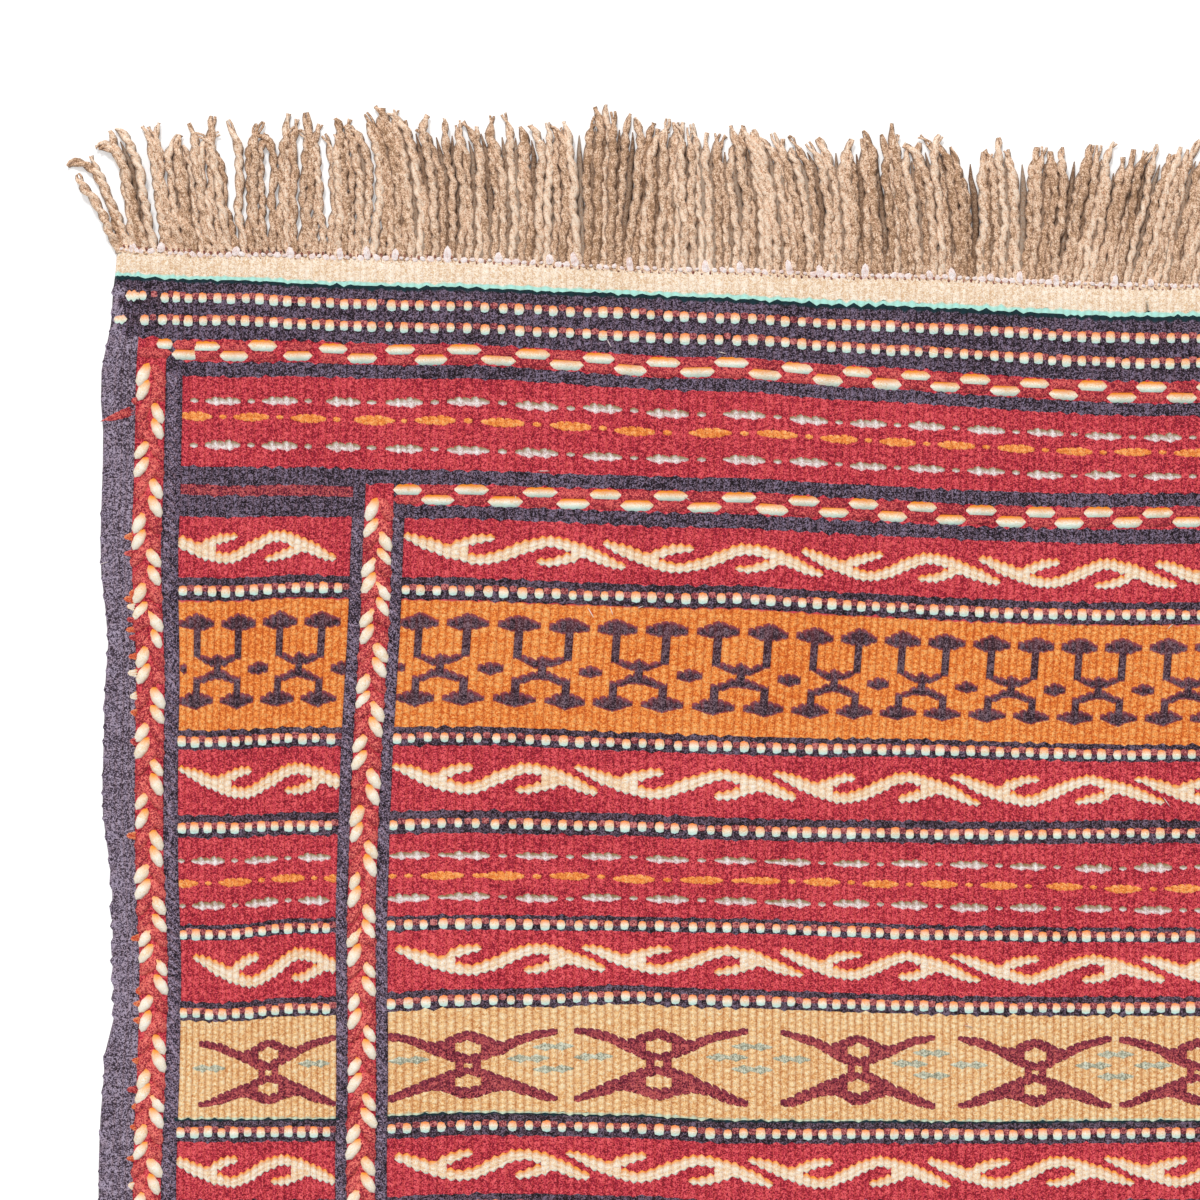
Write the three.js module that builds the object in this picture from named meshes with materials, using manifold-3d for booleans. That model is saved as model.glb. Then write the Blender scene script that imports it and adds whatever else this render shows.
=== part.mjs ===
// A small flat-woven wool rug (kilim) lying flat: the woven cloth with its raised stitched frame lines,
// and a fringe of twisted warp ends at each end. Millimetres, +Z up, underside at z = 0, origin under the middle.

import * as THREE from 'three';
import { mergeVertices } from 'three/addons/utils/BufferGeometryUtils.js';
import Module from 'manifold-3d';

// Driving dimensions of the cloth
const WIDTH = 802;
const WOVEN_LENGTH = 1117;
const THICKNESS = 3;
const SELVEDGE_WIDTH = 12.9;
const PART_GAP = 0.3;

// The stitched frame lines stand proud of the cloth and swing from side to side like a cable.
const STITCH_WIDTH = 9.5;
const STITCH_RISE = 1.1;
const STITCH_SWING = 2.2;
const HALF_TWIST = 12;
const FRAMES = [
  { name: 'outer', across: 17.8, along: 32 },
  { name: 'inner', across: 92.4, along: 80.5 },
];

// The fringe at each end
const STRANDS_PER_END = 148;
const ROOT_STRIP = 4;
const STRIP_THICKNESS = 2.6;
const ROOT_DEPTH = 2.5;
const STRAND_WIDTH = 3;
const STRAND_HEIGHT = 2.4;
const LENGTH_JITTER = 2.5;
const LEAN_JITTER = 0.8;
const STRAND_RINGS = [
  { share: 0, width: 1, bend: 0 },
  { share: 0.35, width: 1, bend: 0.25 },
  { share: 0.7, width: 1, bend: 0.62 },
  { share: 1, width: 0.65, bend: 1 },
];
const STRAND_LENGTHS = [
  { across: 0, length: 38 },
  { across: 40, length: 45 },
  { across: 80, length: 49 },
  { across: 175, length: 57 },
  { across: 230, length: 52 },
  { across: 400, length: 55 },
  { across: 600, length: 50 },
  { across: WIDTH, length: 44 },
];
const STRAND_LEANS = [
  { across: 0, degrees: -30 },
  { across: 10, degrees: -17 },
  { across: 24, degrees: -7 },
  { across: 50, degrees: -2 },
  { across: 120, degrees: 1 },
  { across: 240, degrees: -1 },
  { across: 330, degrees: 10 },
  { across: 400, degrees: 9 },
  { across: 520, degrees: -3 },
  { across: 650, degrees: 4 },
  { across: 760, degrees: 0 },
  { across: 792, degrees: 9 },
  { across: WIDTH, degrees: 19 },
];

// How far the side edge stands in from a straight line. The waviness goes back and forth past the last row.
const SIDE_INSETS = [
  { along: 0, inset: 6.6 },
  { along: 20, inset: 4.9 },
  { along: 48, inset: 0.7 },
  { along: 65, inset: 1.7 },
  { along: 108, inset: 0.7 },
  { along: 136, inset: 3.5 },
  { along: 160, inset: 2.1 },
  { along: 193, inset: 1.4 },
  { along: 224, inset: 4.9 },
  { along: 273, inset: 5.6 },
  { along: 283, inset: 2.1 },
  { along: 313, inset: 0.4 },
  { along: 328, inset: 0 },
];
const SIDE_REPEAT = 328;
const FAR_SIDE_OFFSET = 150;

// How far an end of the weaving bows in towards the middle, and how much of that is left further along.
const END_BOW = [
  { across: 0, drop: 0 },
  { across: 41, drop: 2.3 },
  { across: 111, drop: 4 },
  { across: 209, drop: 8.2 },
  { across: 261, drop: 10.3 },
  { across: 366, drop: 14.2 },
  { across: 480, drop: 13 },
  { across: 600, drop: 8 },
  { across: 700, drop: 3 },
  { across: WIDTH, drop: 0 },
];
const BOW_SHARE = [
  { along: 0, share: 0.9 },
  { along: 35, share: 1.25 },
  { along: 75, share: 0.85 },
  { along: 120, share: 0.85 },
  { along: 190, share: 0.42 },
  { along: 260, share: 0.3 },
  { along: 340, share: 0.15 },
  { along: 450, share: 0 },
];
const NEAR_END_BOW = 0.6;

// The first end of the rug leans sideways: the warps swing back to straight between these two lines.
const LEAN_AT_SIDE = 1.5;
const LEAN_INSIDE = 4.5;
const LEAN_REACH = 90;
const LEAN_FROM = 60;
const LEAN_TO = 190;

const GRID_ACROSS = 6;

function readTable(rows, key, value, at) {
  if (at <= rows[0][key]) return rows[0][value];
  for (let i = 1; i < rows.length; i += 1) {
    if (at <= rows[i][key]) {
      const share = (at - rows[i - 1][key]) / (rows[i][key] - rows[i - 1][key]);
      const eased = share * share * (3 - 2 * share);
      return rows[i - 1][value] + (rows[i][value] - rows[i - 1][value]) * eased;
    }
  }
  return rows[rows.length - 1][value];
}

function backAndForth(at, reach) {
  const turn = ((at % (2 * reach)) + 2 * reach) % (2 * reach);
  return reach - Math.abs(reach - turn);
}

function sideInset(along) {
  return readTable(SIDE_INSETS, 'along', 'inset', backAndForth(along, SIDE_REPEAT));
}

function warpLean(across, along) {
  const swing = 1 - THREE.MathUtils.smoothstep(along, LEAN_FROM, LEAN_TO);
  return (LEAN_AT_SIDE + LEAN_INSIDE * Math.min(across / LEAN_REACH, 1)) * swing;
}

// A place in the weaving, across from the left side and along from the first line of fringe roots, as it lies.
function lay(across, along) {
  const lean = warpLean(across, along);
  const leftHold = Math.max(0, 1 - across / SELVEDGE_WIDTH);
  const rightHold = Math.max(0, 1 - (WIDTH - across) / SELVEDGE_WIDTH);
  const left = (sideInset(along) - warpLean(0, along)) * leftHold;
  const right = sideInset(along + FAR_SIDE_OFFSET) * rightHold;
  const back = WOVEN_LENGTH - along;
  const bow = readTable(END_BOW, 'across', 'drop', across) * readTable(BOW_SHARE, 'along', 'share', along);
  const nearBow = readTable(END_BOW, 'across', 'drop', WIDTH - across) * readTable(BOW_SHARE, 'along', 'share', back);
  return new THREE.Vector2(
    across - WIDTH / 2 + lean + left - right,
    WOVEN_LENGTH / 2 - along - bow + nearBow * NEAR_END_BOW,
  );
}

function closedGeometry(points, faces) {
  const geometry = new THREE.BufferGeometry();
  geometry.setAttribute('position', new THREE.Float32BufferAttribute(points, 3));
  geometry.setIndex(faces);
  geometry.computeVertexNormals();
  return geometry;
}

// Across places of the cloth's grid: both sides' stitched columns and a few in the plain middle.
function acrossPlaces() {
  const left = [0, SELVEDGE_WIDTH];
  FRAMES.forEach((frame) => left.push(
    Math.max(frame.across - STITCH_WIDTH / 2, SELVEDGE_WIDTH + 0.1),
    frame.across,
    frame.across + STITCH_WIDTH / 2,
  ));
  const places = left.filter((place, i) => i === 0 || place - left[i - 1] > 1);
  const innermost = places[places.length - 1];
  const step = (WIDTH - 2 * innermost) / GRID_ACROSS;
  const middle = Array.from({ length: GRID_ACROSS - 1 }, (_, i) => innermost + step * (i + 1));
  const right = places.map((place) => WIDTH - place).reverse();
  return [...places, ...middle, ...right];
}

// Along places: one for each half twist of the stitched columns, and three for each stitched row.
function alongPlaces() {
  const first = ROOT_STRIP + PART_GAP;
  const last = WOVEN_LENGTH - first;
  const rows = [];
  FRAMES.forEach((frame) => {
    [-STITCH_WIDTH / 2, 0, STITCH_WIDTH / 2].forEach((side) => {
      rows.push(frame.along + side, WOVEN_LENGTH - frame.along + side);
    });
  });
  const steps = Math.round((last - first) / HALF_TWIST);
  for (let i = 0; i <= steps; i += 1) {
    const place = first + ((last - first) * i) / steps;
    const clear = rows.every((row) => Math.abs(row - place) > STITCH_WIDTH / 2);
    if (clear || i === 0 || i === steps) rows.push(place);
  }
  return rows.sort((a, b) => a - b);
}

function near(a, b) {
  return Math.abs(a - b) < 0.01;
}

// The side of the column's mid line a crest point stands on, or 0 where the point is not on a crest.
function crestSide(across, along, row) {
  const fromSide = Math.min(across, WIDTH - across);
  const fromEnd = Math.min(along, WOVEN_LENGTH - along);
  const onColumn = FRAMES.some((frame) => near(fromSide, frame.across) && fromEnd > frame.along - 0.01);
  const onRow = FRAMES.some((frame) => near(fromEnd, frame.along) && fromSide > frame.across - 0.01);
  if (onColumn && !onRow) return row % 2 ? 1 : -1;
  return onRow ? 0.01 : 0;
}

function clothGeometry() {
  const columns = acrossPlaces();
  const rows = alongPlaces();
  const points = [];
  const faces = [];
  rows.forEach((along, r) => columns.forEach((across) => {
    const side = crestSide(across, along, r);
    const place = lay(across + side * STITCH_SWING, along);
    points.push(place.x, place.y, THICKNESS + (side ? STITCH_RISE : 0));
  }));
  const wide = columns.length;
  for (let r = 0; r < rows.length - 1; r += 1) {
    for (let c = 0; c < wide - 1; c += 1) {
      const a = r * wide + c;
      faces.push(a, a + wide, a + 1, a + 1, a + wide, a + wide + 1);
    }
  }
  const rim = [];
  for (let c = 0; c < wide; c += 1) rim.push(c);
  for (let r = 1; r < rows.length; r += 1) rim.push(r * wide + wide - 1);
  for (let c = wide - 2; c >= 0; c -= 1) rim.push((rows.length - 1) * wide + c);
  for (let r = rows.length - 2; r > 0; r -= 1) rim.push(r * wide);
  const under = points.length / 3;
  rim.forEach((top) => points.push(points[3 * top], points[3 * top + 1], 0));
  rim.forEach((top, i) => {
    const next = (i + 1) % rim.length;
    faces.push(top, rim[next], under + i, rim[next], under + next, under + i);
  });
  const outline = rim.map((top) => new THREE.Vector2(points[3 * top], points[3 * top + 1]));
  THREE.ShapeUtils.triangulateShape(outline, []).forEach(([a, b, c]) => {
    const turn = outline[b].clone().sub(outline[a]).cross(outline[c].clone().sub(outline[a]));
    if (turn > 0) faces.push(under + a, under + c, under + b);
    else faces.push(under + a, under + b, under + c);
  });
  return closedGeometry(points, faces);
}

// A steady number from -1 to 1 for each strand, so that the fringe is uneven in the same way each time.
function jitter(index, kind) {
  const wave = Math.sin(index * 12.9898 + kind * 78.233) * 43758.5453;
  return 2 * (wave - Math.floor(wave)) - 1;
}

// A place in a fringe: end is 1 at the first end and -1 at the other, and out is how far it is past the roots.
function fringePlace(end, across, out) {
  const place = end > 0 ? lay(across, Math.max(0, -out)) : lay(WIDTH - across, WOVEN_LENGTH - Math.max(0, -out));
  place.y += end * Math.max(0, out);
  return place;
}

function strandGeometry(end, index) {
  const across = ((index + 0.5) * (WIDTH - STRAND_WIDTH)) / STRANDS_PER_END + STRAND_WIDTH / 2;
  const spread = end > 0 ? 1 : 2;
  const length = readTable(STRAND_LENGTHS, 'across', 'length', across) + LENGTH_JITTER * jitter(index, spread);
  const degrees = readTable(STRAND_LEANS, 'across', 'degrees', across) + LEAN_JITTER * jitter(index, spread + 2);
  const lean = THREE.MathUtils.degToRad(degrees);
  const root = fringePlace(end, across, 0);
  const inner = fringePlace(end, across, -ROOT_DEPTH);
  const centres = STRAND_RINGS.map((ring) => {
    if (ring.share === 0) return inner;
    const reach = length * ring.share;
    const aside = length * Math.sin(lean) * ring.bend;
    return new THREE.Vector2(root.x + end * aside, root.y + end * reach * Math.cos(lean));
  });
  const points = [];
  const faces = [];
  centres.forEach((centre, i) => {
    const ahead = centres[Math.min(i + 1, centres.length - 1)];
    const behind = centres[Math.max(i - 1, 0)];
    const along = ahead.clone().sub(behind).normalize();
    const half = (STRAND_WIDTH / 2) * STRAND_RINGS[i].width;
    points.push(centre.x + along.y * half, centre.y - along.x * half, 0);
    points.push(centre.x, centre.y, STRAND_HEIGHT * STRAND_RINGS[i].width);
    points.push(centre.x - along.y * half, centre.y + along.x * half, 0);
  });
  const last = 3 * (centres.length - 1);
  for (let at = 0; at < last; at += 3) {
    [[0, 1], [1, 2], [2, 0]].forEach(([a, b]) => {
      faces.push(at + a, at + a + 3, at + b, at + b, at + a + 3, at + b + 3);
    });
  }
  faces.push(0, 1, 2, last, last + 2, last + 1);
  return closedGeometry(points, faces);
}

function stripGeometry(end) {
  const places = acrossPlaces();
  const roots = places.map((across) => fringePlace(end, across, 0));
  const seam = places.map((across) => fringePlace(end, across, -ROOT_STRIP));
  const outline = [...roots, ...seam.reverse()];
  return new THREE.ExtrudeGeometry(new THREE.Shape(outline), { depth: STRIP_THICKNESS, bevelEnabled: false });
}

const wasm = await Module();
wasm.setup();

function toManifold(geometry) {
  const bare = geometry.clone();
  Object.keys(bare.attributes).filter((name) => name !== 'position').forEach((name) => bare.deleteAttribute(name));
  const merged = mergeVertices(bare, 1e-4);
  return new wasm.Manifold(new wasm.Mesh({
    numProp: 3,
    vertProperties: new Float32Array(merged.attributes.position.array),
    triVerts: new Uint32Array(merged.index.array),
  }));
}

function fringeGeometry(end) {
  let fringe = toManifold(stripGeometry(end));
  for (let i = 0; i < STRANDS_PER_END; i += 1) fringe = fringe.add(toManifold(strandGeometry(end, i)));
  const mesh = fringe.getMesh();
  return closedGeometry(Array.from(mesh.vertProperties), Array.from(mesh.triVerts));
}

function piece(name, geometry, colour, roughness) {
  const material = new THREE.MeshStandardMaterial({ color: colour, roughness, metalness: 0 });
  const mesh = new THREE.Mesh(geometry, material);
  mesh.name = name;
  return mesh;
}

const rug = new THREE.Group();
rug.add(piece('woven_cloth', clothGeometry(), 0xb2404a, 0.95));
rug.add(piece('fringe_top', fringeGeometry(1), 0xc9a68b, 0.9));
rug.add(piece('fringe_bottom', fringeGeometry(-1), 0xc9a68b, 0.9));

const middle = new THREE.Box3().setFromObject(rug).getCenter(new THREE.Vector3());
rug.position.set(-middle.x, -middle.y, 0);

export default rug;
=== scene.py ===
# %% [markdown]
# # A small kilim rug, seen from straight above
# This lesson dresses a packed construction model of a flat-woven wool rug. The construction has three
# solids: the cloth and a fringe at each end. Here each of them gets the surface of the real one: ribs
# from the warps, dyed wool, woven figures that stand a little proud, two stitched frame lines, twisted
# fringe strands and the overcast thread at their roots.
#
# The frame is loaded first, because every size below is set out from it.

import bpy
import numpy as np
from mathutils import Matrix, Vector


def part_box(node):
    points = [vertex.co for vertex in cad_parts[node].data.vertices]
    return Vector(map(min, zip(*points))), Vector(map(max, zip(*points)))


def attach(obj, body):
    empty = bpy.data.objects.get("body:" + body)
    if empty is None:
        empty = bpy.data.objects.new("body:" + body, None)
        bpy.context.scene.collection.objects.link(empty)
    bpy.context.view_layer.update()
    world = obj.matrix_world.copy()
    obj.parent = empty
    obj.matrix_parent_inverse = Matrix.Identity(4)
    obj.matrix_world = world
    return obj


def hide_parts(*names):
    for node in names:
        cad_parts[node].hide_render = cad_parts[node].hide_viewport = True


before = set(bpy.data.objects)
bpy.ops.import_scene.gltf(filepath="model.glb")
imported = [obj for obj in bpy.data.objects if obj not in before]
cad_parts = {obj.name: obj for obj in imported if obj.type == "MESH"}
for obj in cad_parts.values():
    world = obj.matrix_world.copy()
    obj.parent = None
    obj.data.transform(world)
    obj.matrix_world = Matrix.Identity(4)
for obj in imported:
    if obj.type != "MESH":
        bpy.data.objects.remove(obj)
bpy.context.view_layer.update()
MM = 0.001
cloth_low, cloth_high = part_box("woven_cloth")
print("cloth box in mm:", [round(value / MM, 1) for value in (*cloth_low, *cloth_high)])

# %% [markdown]
# ## How the cloth lies
# A rug off a loom is never a true rectangle. Its side edges wave, its ends bow, and its warps lean near
# one end. The construction works this out from short tables, so the same tables are repeated here, and
# one function turns a place in the weaving (across from the left edge, along from the fringe roots)
# into a place on the floor. Everything else in this file is set out in weaving places, so that each
# figure and stitch follows the cloth by itself.

# %% The cloth's sizes and its unevenness, in millimetres
WIDTH = 802.0
WOVEN_LENGTH = 1117.0
THICKNESS = 3.0
SELVEDGE_WIDTH = 12.9
CLOTH_STARTS = 4.3
MEASURED_PLACES = 300

# Rows are (along, inset of the side edge).
SIDE_INSETS = (
    (0, 6.6), (20, 4.9), (48, 0.7), (65, 1.7), (108, 0.7), (136, 3.5), (160, 2.1),
    (193, 1.4), (224, 4.9), (273, 5.6), (283, 2.1), (313, 0.4), (328, 0),
)
SIDE_REPEAT = 328
FAR_SIDE_OFFSET = 150

# Rows are (across, drop of the end line) and (along, share of that drop which is left).
END_BOW = (
    (0, 0), (41, 2.3), (111, 4), (209, 8.2), (261, 10.3), (366, 14.2),
    (480, 13), (600, 8), (700, 3), (WIDTH, 0),
)
BOW_SHARE = ((0, 0.9), (35, 1.25), (75, 0.85), (120, 0.85), (190, 0.42), (260, 0.3), (340, 0.15), (450, 0))
NEAR_END_BOW = 0.6
LEAN_AT_SIDE, LEAN_INSIDE, LEAN_REACH = 1.5, 4.5, 90
LEAN_FROM, LEAN_TO = 60, 190


def eased(share):
    share = np.clip(share, 0, 1)
    return share * share * (3 - 2 * share)


def read_table(rows, at):
    """The value at a place, eased from row to row of a short table."""
    places, values = np.array(rows, float).T
    at = np.asarray(at, float)
    i = np.clip(np.searchsorted(places, at) - 1, 0, len(places) - 2)
    share = (at - places[i]) / (places[i + 1] - places[i])
    return values[i] + (values[i + 1] - values[i]) * eased(share)


def side_inset(along):
    turn = np.mod(along, 2 * SIDE_REPEAT)
    return read_table(SIDE_INSETS, SIDE_REPEAT - np.abs(SIDE_REPEAT - turn))


def warp_lean(across, along):
    swing = 1 - eased((along - LEAN_FROM) / (LEAN_TO - LEAN_FROM))
    return (LEAN_AT_SIDE + LEAN_INSIDE * np.minimum(across / LEAN_REACH, 1)) * swing


def lay(across, along):
    """Where a place in the weaving lies, in millimetres, before the middle of the rug is known."""
    left_hold = np.maximum(0, 1 - across / SELVEDGE_WIDTH)
    right_hold = np.maximum(0, 1 - (WIDTH - across) / SELVEDGE_WIDTH)
    left = (side_inset(along) - warp_lean(0, along)) * left_hold
    right = side_inset(along + FAR_SIDE_OFFSET) * right_hold
    bow = read_table(END_BOW, across) * read_table(BOW_SHARE, along)
    near_bow = read_table(END_BOW, WIDTH - across) * read_table(BOW_SHARE, WOVEN_LENGTH - along)
    x = across - WIDTH / 2 + warp_lean(across, along) + left - right
    y = WOVEN_LENGTH / 2 - along - bow + near_bow * NEAR_END_BOW
    return x, y


down = np.linspace(CLOTH_STARTS, WOVEN_LENGTH - CLOTH_STARTS, MEASURED_PLACES)
over = np.linspace(0, WIDTH, MEASURED_PLACES)
side_x = np.concatenate([lay(side, down)[0] for side in (0.0, WIDTH)])
end_y = np.concatenate([lay(over, end)[1] for end in (down[0], down[-1])])
SHIFT_X = (cloth_low.x + cloth_high.x) / 2 / MM - (side_x.min() + side_x.max()) / 2
SHIFT_Y = (cloth_low.y + cloth_high.y) / 2 / MM - (end_y.min() + end_y.max()) / 2
print(f"the middle of the cloth is moved by {SHIFT_X:.2f} and {SHIFT_Y:.2f} mm")

# %% [markdown]
# ## Counting in ribs
# In a weft-faced weave each warp shows as a rib, and every figure is one or more ribs wide. So the
# weaver's own unit, the rib, is the best unit across the cloth. A side of the rug is a row of zones,
# each with its width and number of ribs, and the far side is the same in mirror order. Hand-spun warps
# wander a little, which the last tables say.

# %% Ribs across the cloth
# Rows are (zone, width in mm, ribs), from the side edge inwards.
SIDE_ZONES = (
    ("selvedge", 13.0, 5), ("outer column", 9.8, 3), ("outer line", 5.2, 3), ("side field", 56.0, 24),
    ("inner line", 4.2, 2), ("inner column", 9.8, 3), ("last line", 4.2, 2),
)
FIELD_RIBS = 224
SIDE_RIBS = sum(ribs for _, _, ribs in SIDE_ZONES)
RIBS = 2 * SIDE_RIBS + FIELD_RIBS

zone_starts = {}
rib_marks, across_marks = [0], [0.0]
for zone, zone_width, zone_ribs in SIDE_ZONES:
    zone_starts[zone] = (rib_marks[-1], rib_marks[-1] + zone_ribs)
    rib_marks.append(rib_marks[-1] + zone_ribs)
    across_marks.append(across_marks[-1] + zone_width)
rib_marks += [RIBS - mark for mark in reversed(rib_marks)]
across_marks += [WIDTH - mark for mark in reversed(across_marks)]

# Rows are (ribs from the inner frame line, mm the warps stray to the right), and (along, share of it).
STRAY = ((0, 0), (24, 5.8), (48, 11.3), (72, 9.3), (96, 7.0), (160, 0), (FIELD_RIBS, 0))
STRAY_SHARE = ((0, 1), (330, 1), (600, 0), (WOVEN_LENGTH, 0))

# The two stitched columns pull the warps aside. Rows are (along, mm to the right) and (across, share).
OUTER_PULL = (
    (0, 0), (25, -1.0), (43, -1.75), (78, -2.3), (105, -2.8), (117, -1.9), (150, 0), (207, 0),
    (249, 1.6), (281, 0.9), (300, 0), (325, -0.9), (360, 0),
)
OUTER_REACH = ((0, 0), (13, 1), (23, 1), (34, 0.35), (84, 0))
INNER_PULL = (
    (0, 0), (96, 0), (135, 1.0), (157, 1.1), (181, 0.7), (207, -0.2), (230, -0.95), (290, -0.7),
    (320, -1.2), (380, 0),
)
INNER_REACH = ((0, 0), (70, 0), (88, 1), (98, 1), (125, 0))

# Wefts dip where they were beaten harder. Each row is (along, dips in mm at the places across). A
# program worked these out by matching the photograph with a render. They are no model for a lesson,
# which should need only a few dips chosen by hand.
DIP_PLACES = (0, 43, 71, 137, 179, 211, 290, 368)
WEFT_DIPS = (
    (0, 0, 0, 0, 0, 0, 0, 0, 0),
    (12, 0.6, -0.4, 0.5, 0.5, -0.3, 0.5, 1.1, 1.1),
    (23, 1.4, -0.7, -0.1, -0.2, -0.9, -0.9, 0.6, 0.4),
    (32, 2.0, 0.8, 0.3, -0.4, -0.4, -0.8, 0.9, 0.5),
    (45, 1.6, 1.4, 0.4, -0.9, -1.3, -1.3, 0.3, 0.2),
    (60, 0.9, 0.2, 0.0, 0.0, -0.2, -0.6, 1.1, 0.8),
    (80, 0.9, 0.8, 0.3, 0.2, -0.9, -0.8, 0.9, -0.6),
    (98, 1.3, 1.5, 0.5, 0.0, 0.3, 0.4, 1.6, 1.0),
    (116, 2.3, 1.5, -0.3, -0.4, -0.9, -1.2, 0.7, -0.3),
    (143, 2.2, 0.9, -0.4, -1.3, -1.6, -0.9, 0.6, -0.6),
    (169, 2.3, 1.1, -0.4, -1.5, -1.0, -0.2, -0.4, -0.3),
    (199, 2.1, 1.9, 0.7, -0.8, -0.9, 0.2, 0.2, -1.4),
    (218, 3.5, 2.2, 0.2, -1.1, -1.3, -0.9, -0.4, 0.0),
    (235, 4.0, 3.6, 1.0, -1.0, -1.3, -0.9, 0.7, 0.5),
    (261, 3.8, 5.0, 2.9, -0.7, -2.7, -1.6, -0.2, -0.7),
    (283, 3.8, 3.6, 1.7, -0.6, -2.1, -2.0, -0.2, -0.7),
    (306, 1.5, 1.4, 1.2, -1.5, -1.1, 0.7, 0.3, -0.8),
)
DIP_REPEAT = 330
DIP_FADE = 60


def weft_dip(across, along):
    """How far the wefts dip at a place. The far side and the unmeasured length repeat in mirror order."""
    turn = DIP_REPEAT - np.abs(DIP_REPEAT - np.mod(along, 2 * DIP_REPEAT))
    aside = np.minimum(np.minimum(across, WIDTH - across), DIP_PLACES[-1])
    table = np.array(WEFT_DIPS)
    row = np.clip(np.searchsorted(table[:, 0], turn) - 1, 0, len(table) - 2)
    share = eased((turn - table[row, 0]) / (table[row + 1, 0] - table[row, 0]))
    column = np.clip(np.searchsorted(DIP_PLACES, aside) - 1, 0, len(DIP_PLACES) - 2)
    places = np.array(DIP_PLACES, float)
    over = eased((aside - places[column]) / (places[column + 1] - places[column]))
    above = table[row, column + 1] * (1 - over) + table[row, column + 2] * over
    below = table[row + 1, column + 1] * (1 - over) + table[row + 1, column + 2] * over
    return (above * (1 - share) + below * share) * np.clip((WOVEN_LENGTH - along) / DIP_FADE, 0, 1)


def place(rib, along):
    """Where a place lies, its x and y in millimetres, from its rib number and its distance along."""
    rib, along = np.broadcast_arrays(np.asarray(rib, float), np.asarray(along, float))
    across = np.interp(rib, rib_marks, across_marks)
    inside = np.clip(rib - SIDE_RIBS, 0, FIELD_RIBS)
    pull = 0
    for pulls, reach in ((OUTER_PULL, OUTER_REACH), (INNER_PULL, INNER_REACH)):
        pull = pull + read_table(pulls, along) * read_table(reach, np.minimum(across, reach[-1][0]))
    pull = pull + read_table(STRAY, inside) * read_table(STRAY_SHARE, along)
    x, y = lay(across + pull, along + weft_dip(across, along))
    return x + SHIFT_X, y + SHIFT_Y


print(RIBS, "ribs, of which", FIELD_RIBS, "are in the main field")

# %% [markdown]
# ## The camera
# The photograph looks straight down on one corner, with no visible perspective. A real camera with a
# long lens from several metres gives that, and a perspective camera keeps working when the view is
# turned for the other pictures. The picture is 1200 pixels wide for 420 mm of rug.

# %% Camera over the corner
PICTURE_PIXELS = 1200
MM_PER_PIXEL = 0.35
EDGE_PIXEL, ROOT_PIXEL = 98, 249
CAMERA_HEIGHT = 4.0
SENSOR_WIDTH = 36

left_edge = -WIDTH / 2 + SHIFT_X
root_line = WOVEN_LENGTH / 2 + SHIFT_Y
view_x = left_edge + (PICTURE_PIXELS / 2 - EDGE_PIXEL) * MM_PER_PIXEL
view_y = root_line - (PICTURE_PIXELS / 2 - ROOT_PIXEL) * MM_PER_PIXEL

camera_data = bpy.data.cameras.new("camera")
camera_data.sensor_width = SENSOR_WIDTH
camera_data.lens = SENSOR_WIDTH * CAMERA_HEIGHT / (PICTURE_PIXELS * MM_PER_PIXEL * MM)
camera = bpy.data.objects.new("camera", camera_data)
camera.location = (view_x * MM, view_y * MM, CAMERA_HEIGHT + THICKNESS * MM)
bpy.context.scene.collection.objects.link(camera)
bpy.context.scene.camera = camera
print(f"camera over ({view_x:.1f}, {view_y:.1f}) mm with a {camera_data.lens:.0f} mm lens")

# %% [markdown]
# ## Floor and light
# The rug was photographed on white, in even light with a little direction from the fringe side, enough
# to shade the lower edge of each raised thread. A white world gives the even part and a broad sun the
# rest. Together they bring the wool to its own colours. The floor was lit more than the rug, from lamps
# of its own, so it glows a little and its shadows burn out to white.

# %% Floor, sun and world
LIGHT_FROM_WORLD = 0.66
SUN_STRENGTH = 1.85
SUN_SOFTNESS = 0.22
SUN_TILT = (-42, -14, 0)
FLOOR_REACH, FLOOR_GLOW = 4.0, 0.28

floor_mesh = bpy.data.meshes.new("floor")
corners = [(x * FLOOR_REACH, y * FLOOR_REACH, 0) for x, y in ((-1, -1), (1, -1), (1, 1), (-1, 1))]
floor_mesh.from_pydata(corners, [], [(0, 1, 2, 3)])
floor = bpy.data.objects.new("floor", floor_mesh)
bpy.context.scene.collection.objects.link(floor)

sun_data = bpy.data.lights.new("sun", "SUN")
sun_data.energy = SUN_STRENGTH
sun_data.angle = SUN_SOFTNESS
sun = bpy.data.objects.new("sun", sun_data)
sun.rotation_euler = np.radians(SUN_TILT)
bpy.context.scene.collection.objects.link(sun)

world = bpy.data.worlds.new("white room")
world.use_nodes = True
background = world.node_tree.nodes["Background"]
background.inputs["Strength"].default_value = LIGHT_FROM_WORLD
background.inputs["Color"].default_value = (1, 1, 1, 1)
bpy.context.scene.world = world
bpy.context.scene.view_settings.view_transform = "Standard"
print("floor, sun and world are in place")

# %% [markdown]
# ## Dyed wool
# Every thread here is hand-spun wool: matte, with a faint bloom of loose fibres that catches light, and
# with speckle because the dye takes unevenly. A rough Principled surface with a little sheen gives the
# bloom. The speckle is noise under a millimetre across, and each knot of weft over a warp differs a
# little from the next. The meshes carry an attribute called weave, which holds the rib number, the
# number of the weft knot, and a tint: how far an edge has taken up its neighbour's dye, warm above
# zero and cool below it, and on the fringe how much painted shade a ply gets. So the shader can round
# every knot, paint shade into the crevices between them and tint the edges without any image.

# %% Node helper and colours
# A wool fibre is far too fine to show from here, so fibres are drawn as coarse as they need to show.
FIBRE_SIZE, FUZZ_SIZE, DYE_LOT_SIZE = 0.8 * MM, 0.45 * MM, 45 * MM
FIBRE_CURL = 1.3
# The height of a weft knot in mm.
KNOT_HEIGHT = 2.0
# Powers below one give ribs and knots full, round tops.
RIB_ROUNDING, KNOT_ROUNDING = 0.45, 0.5
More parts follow.
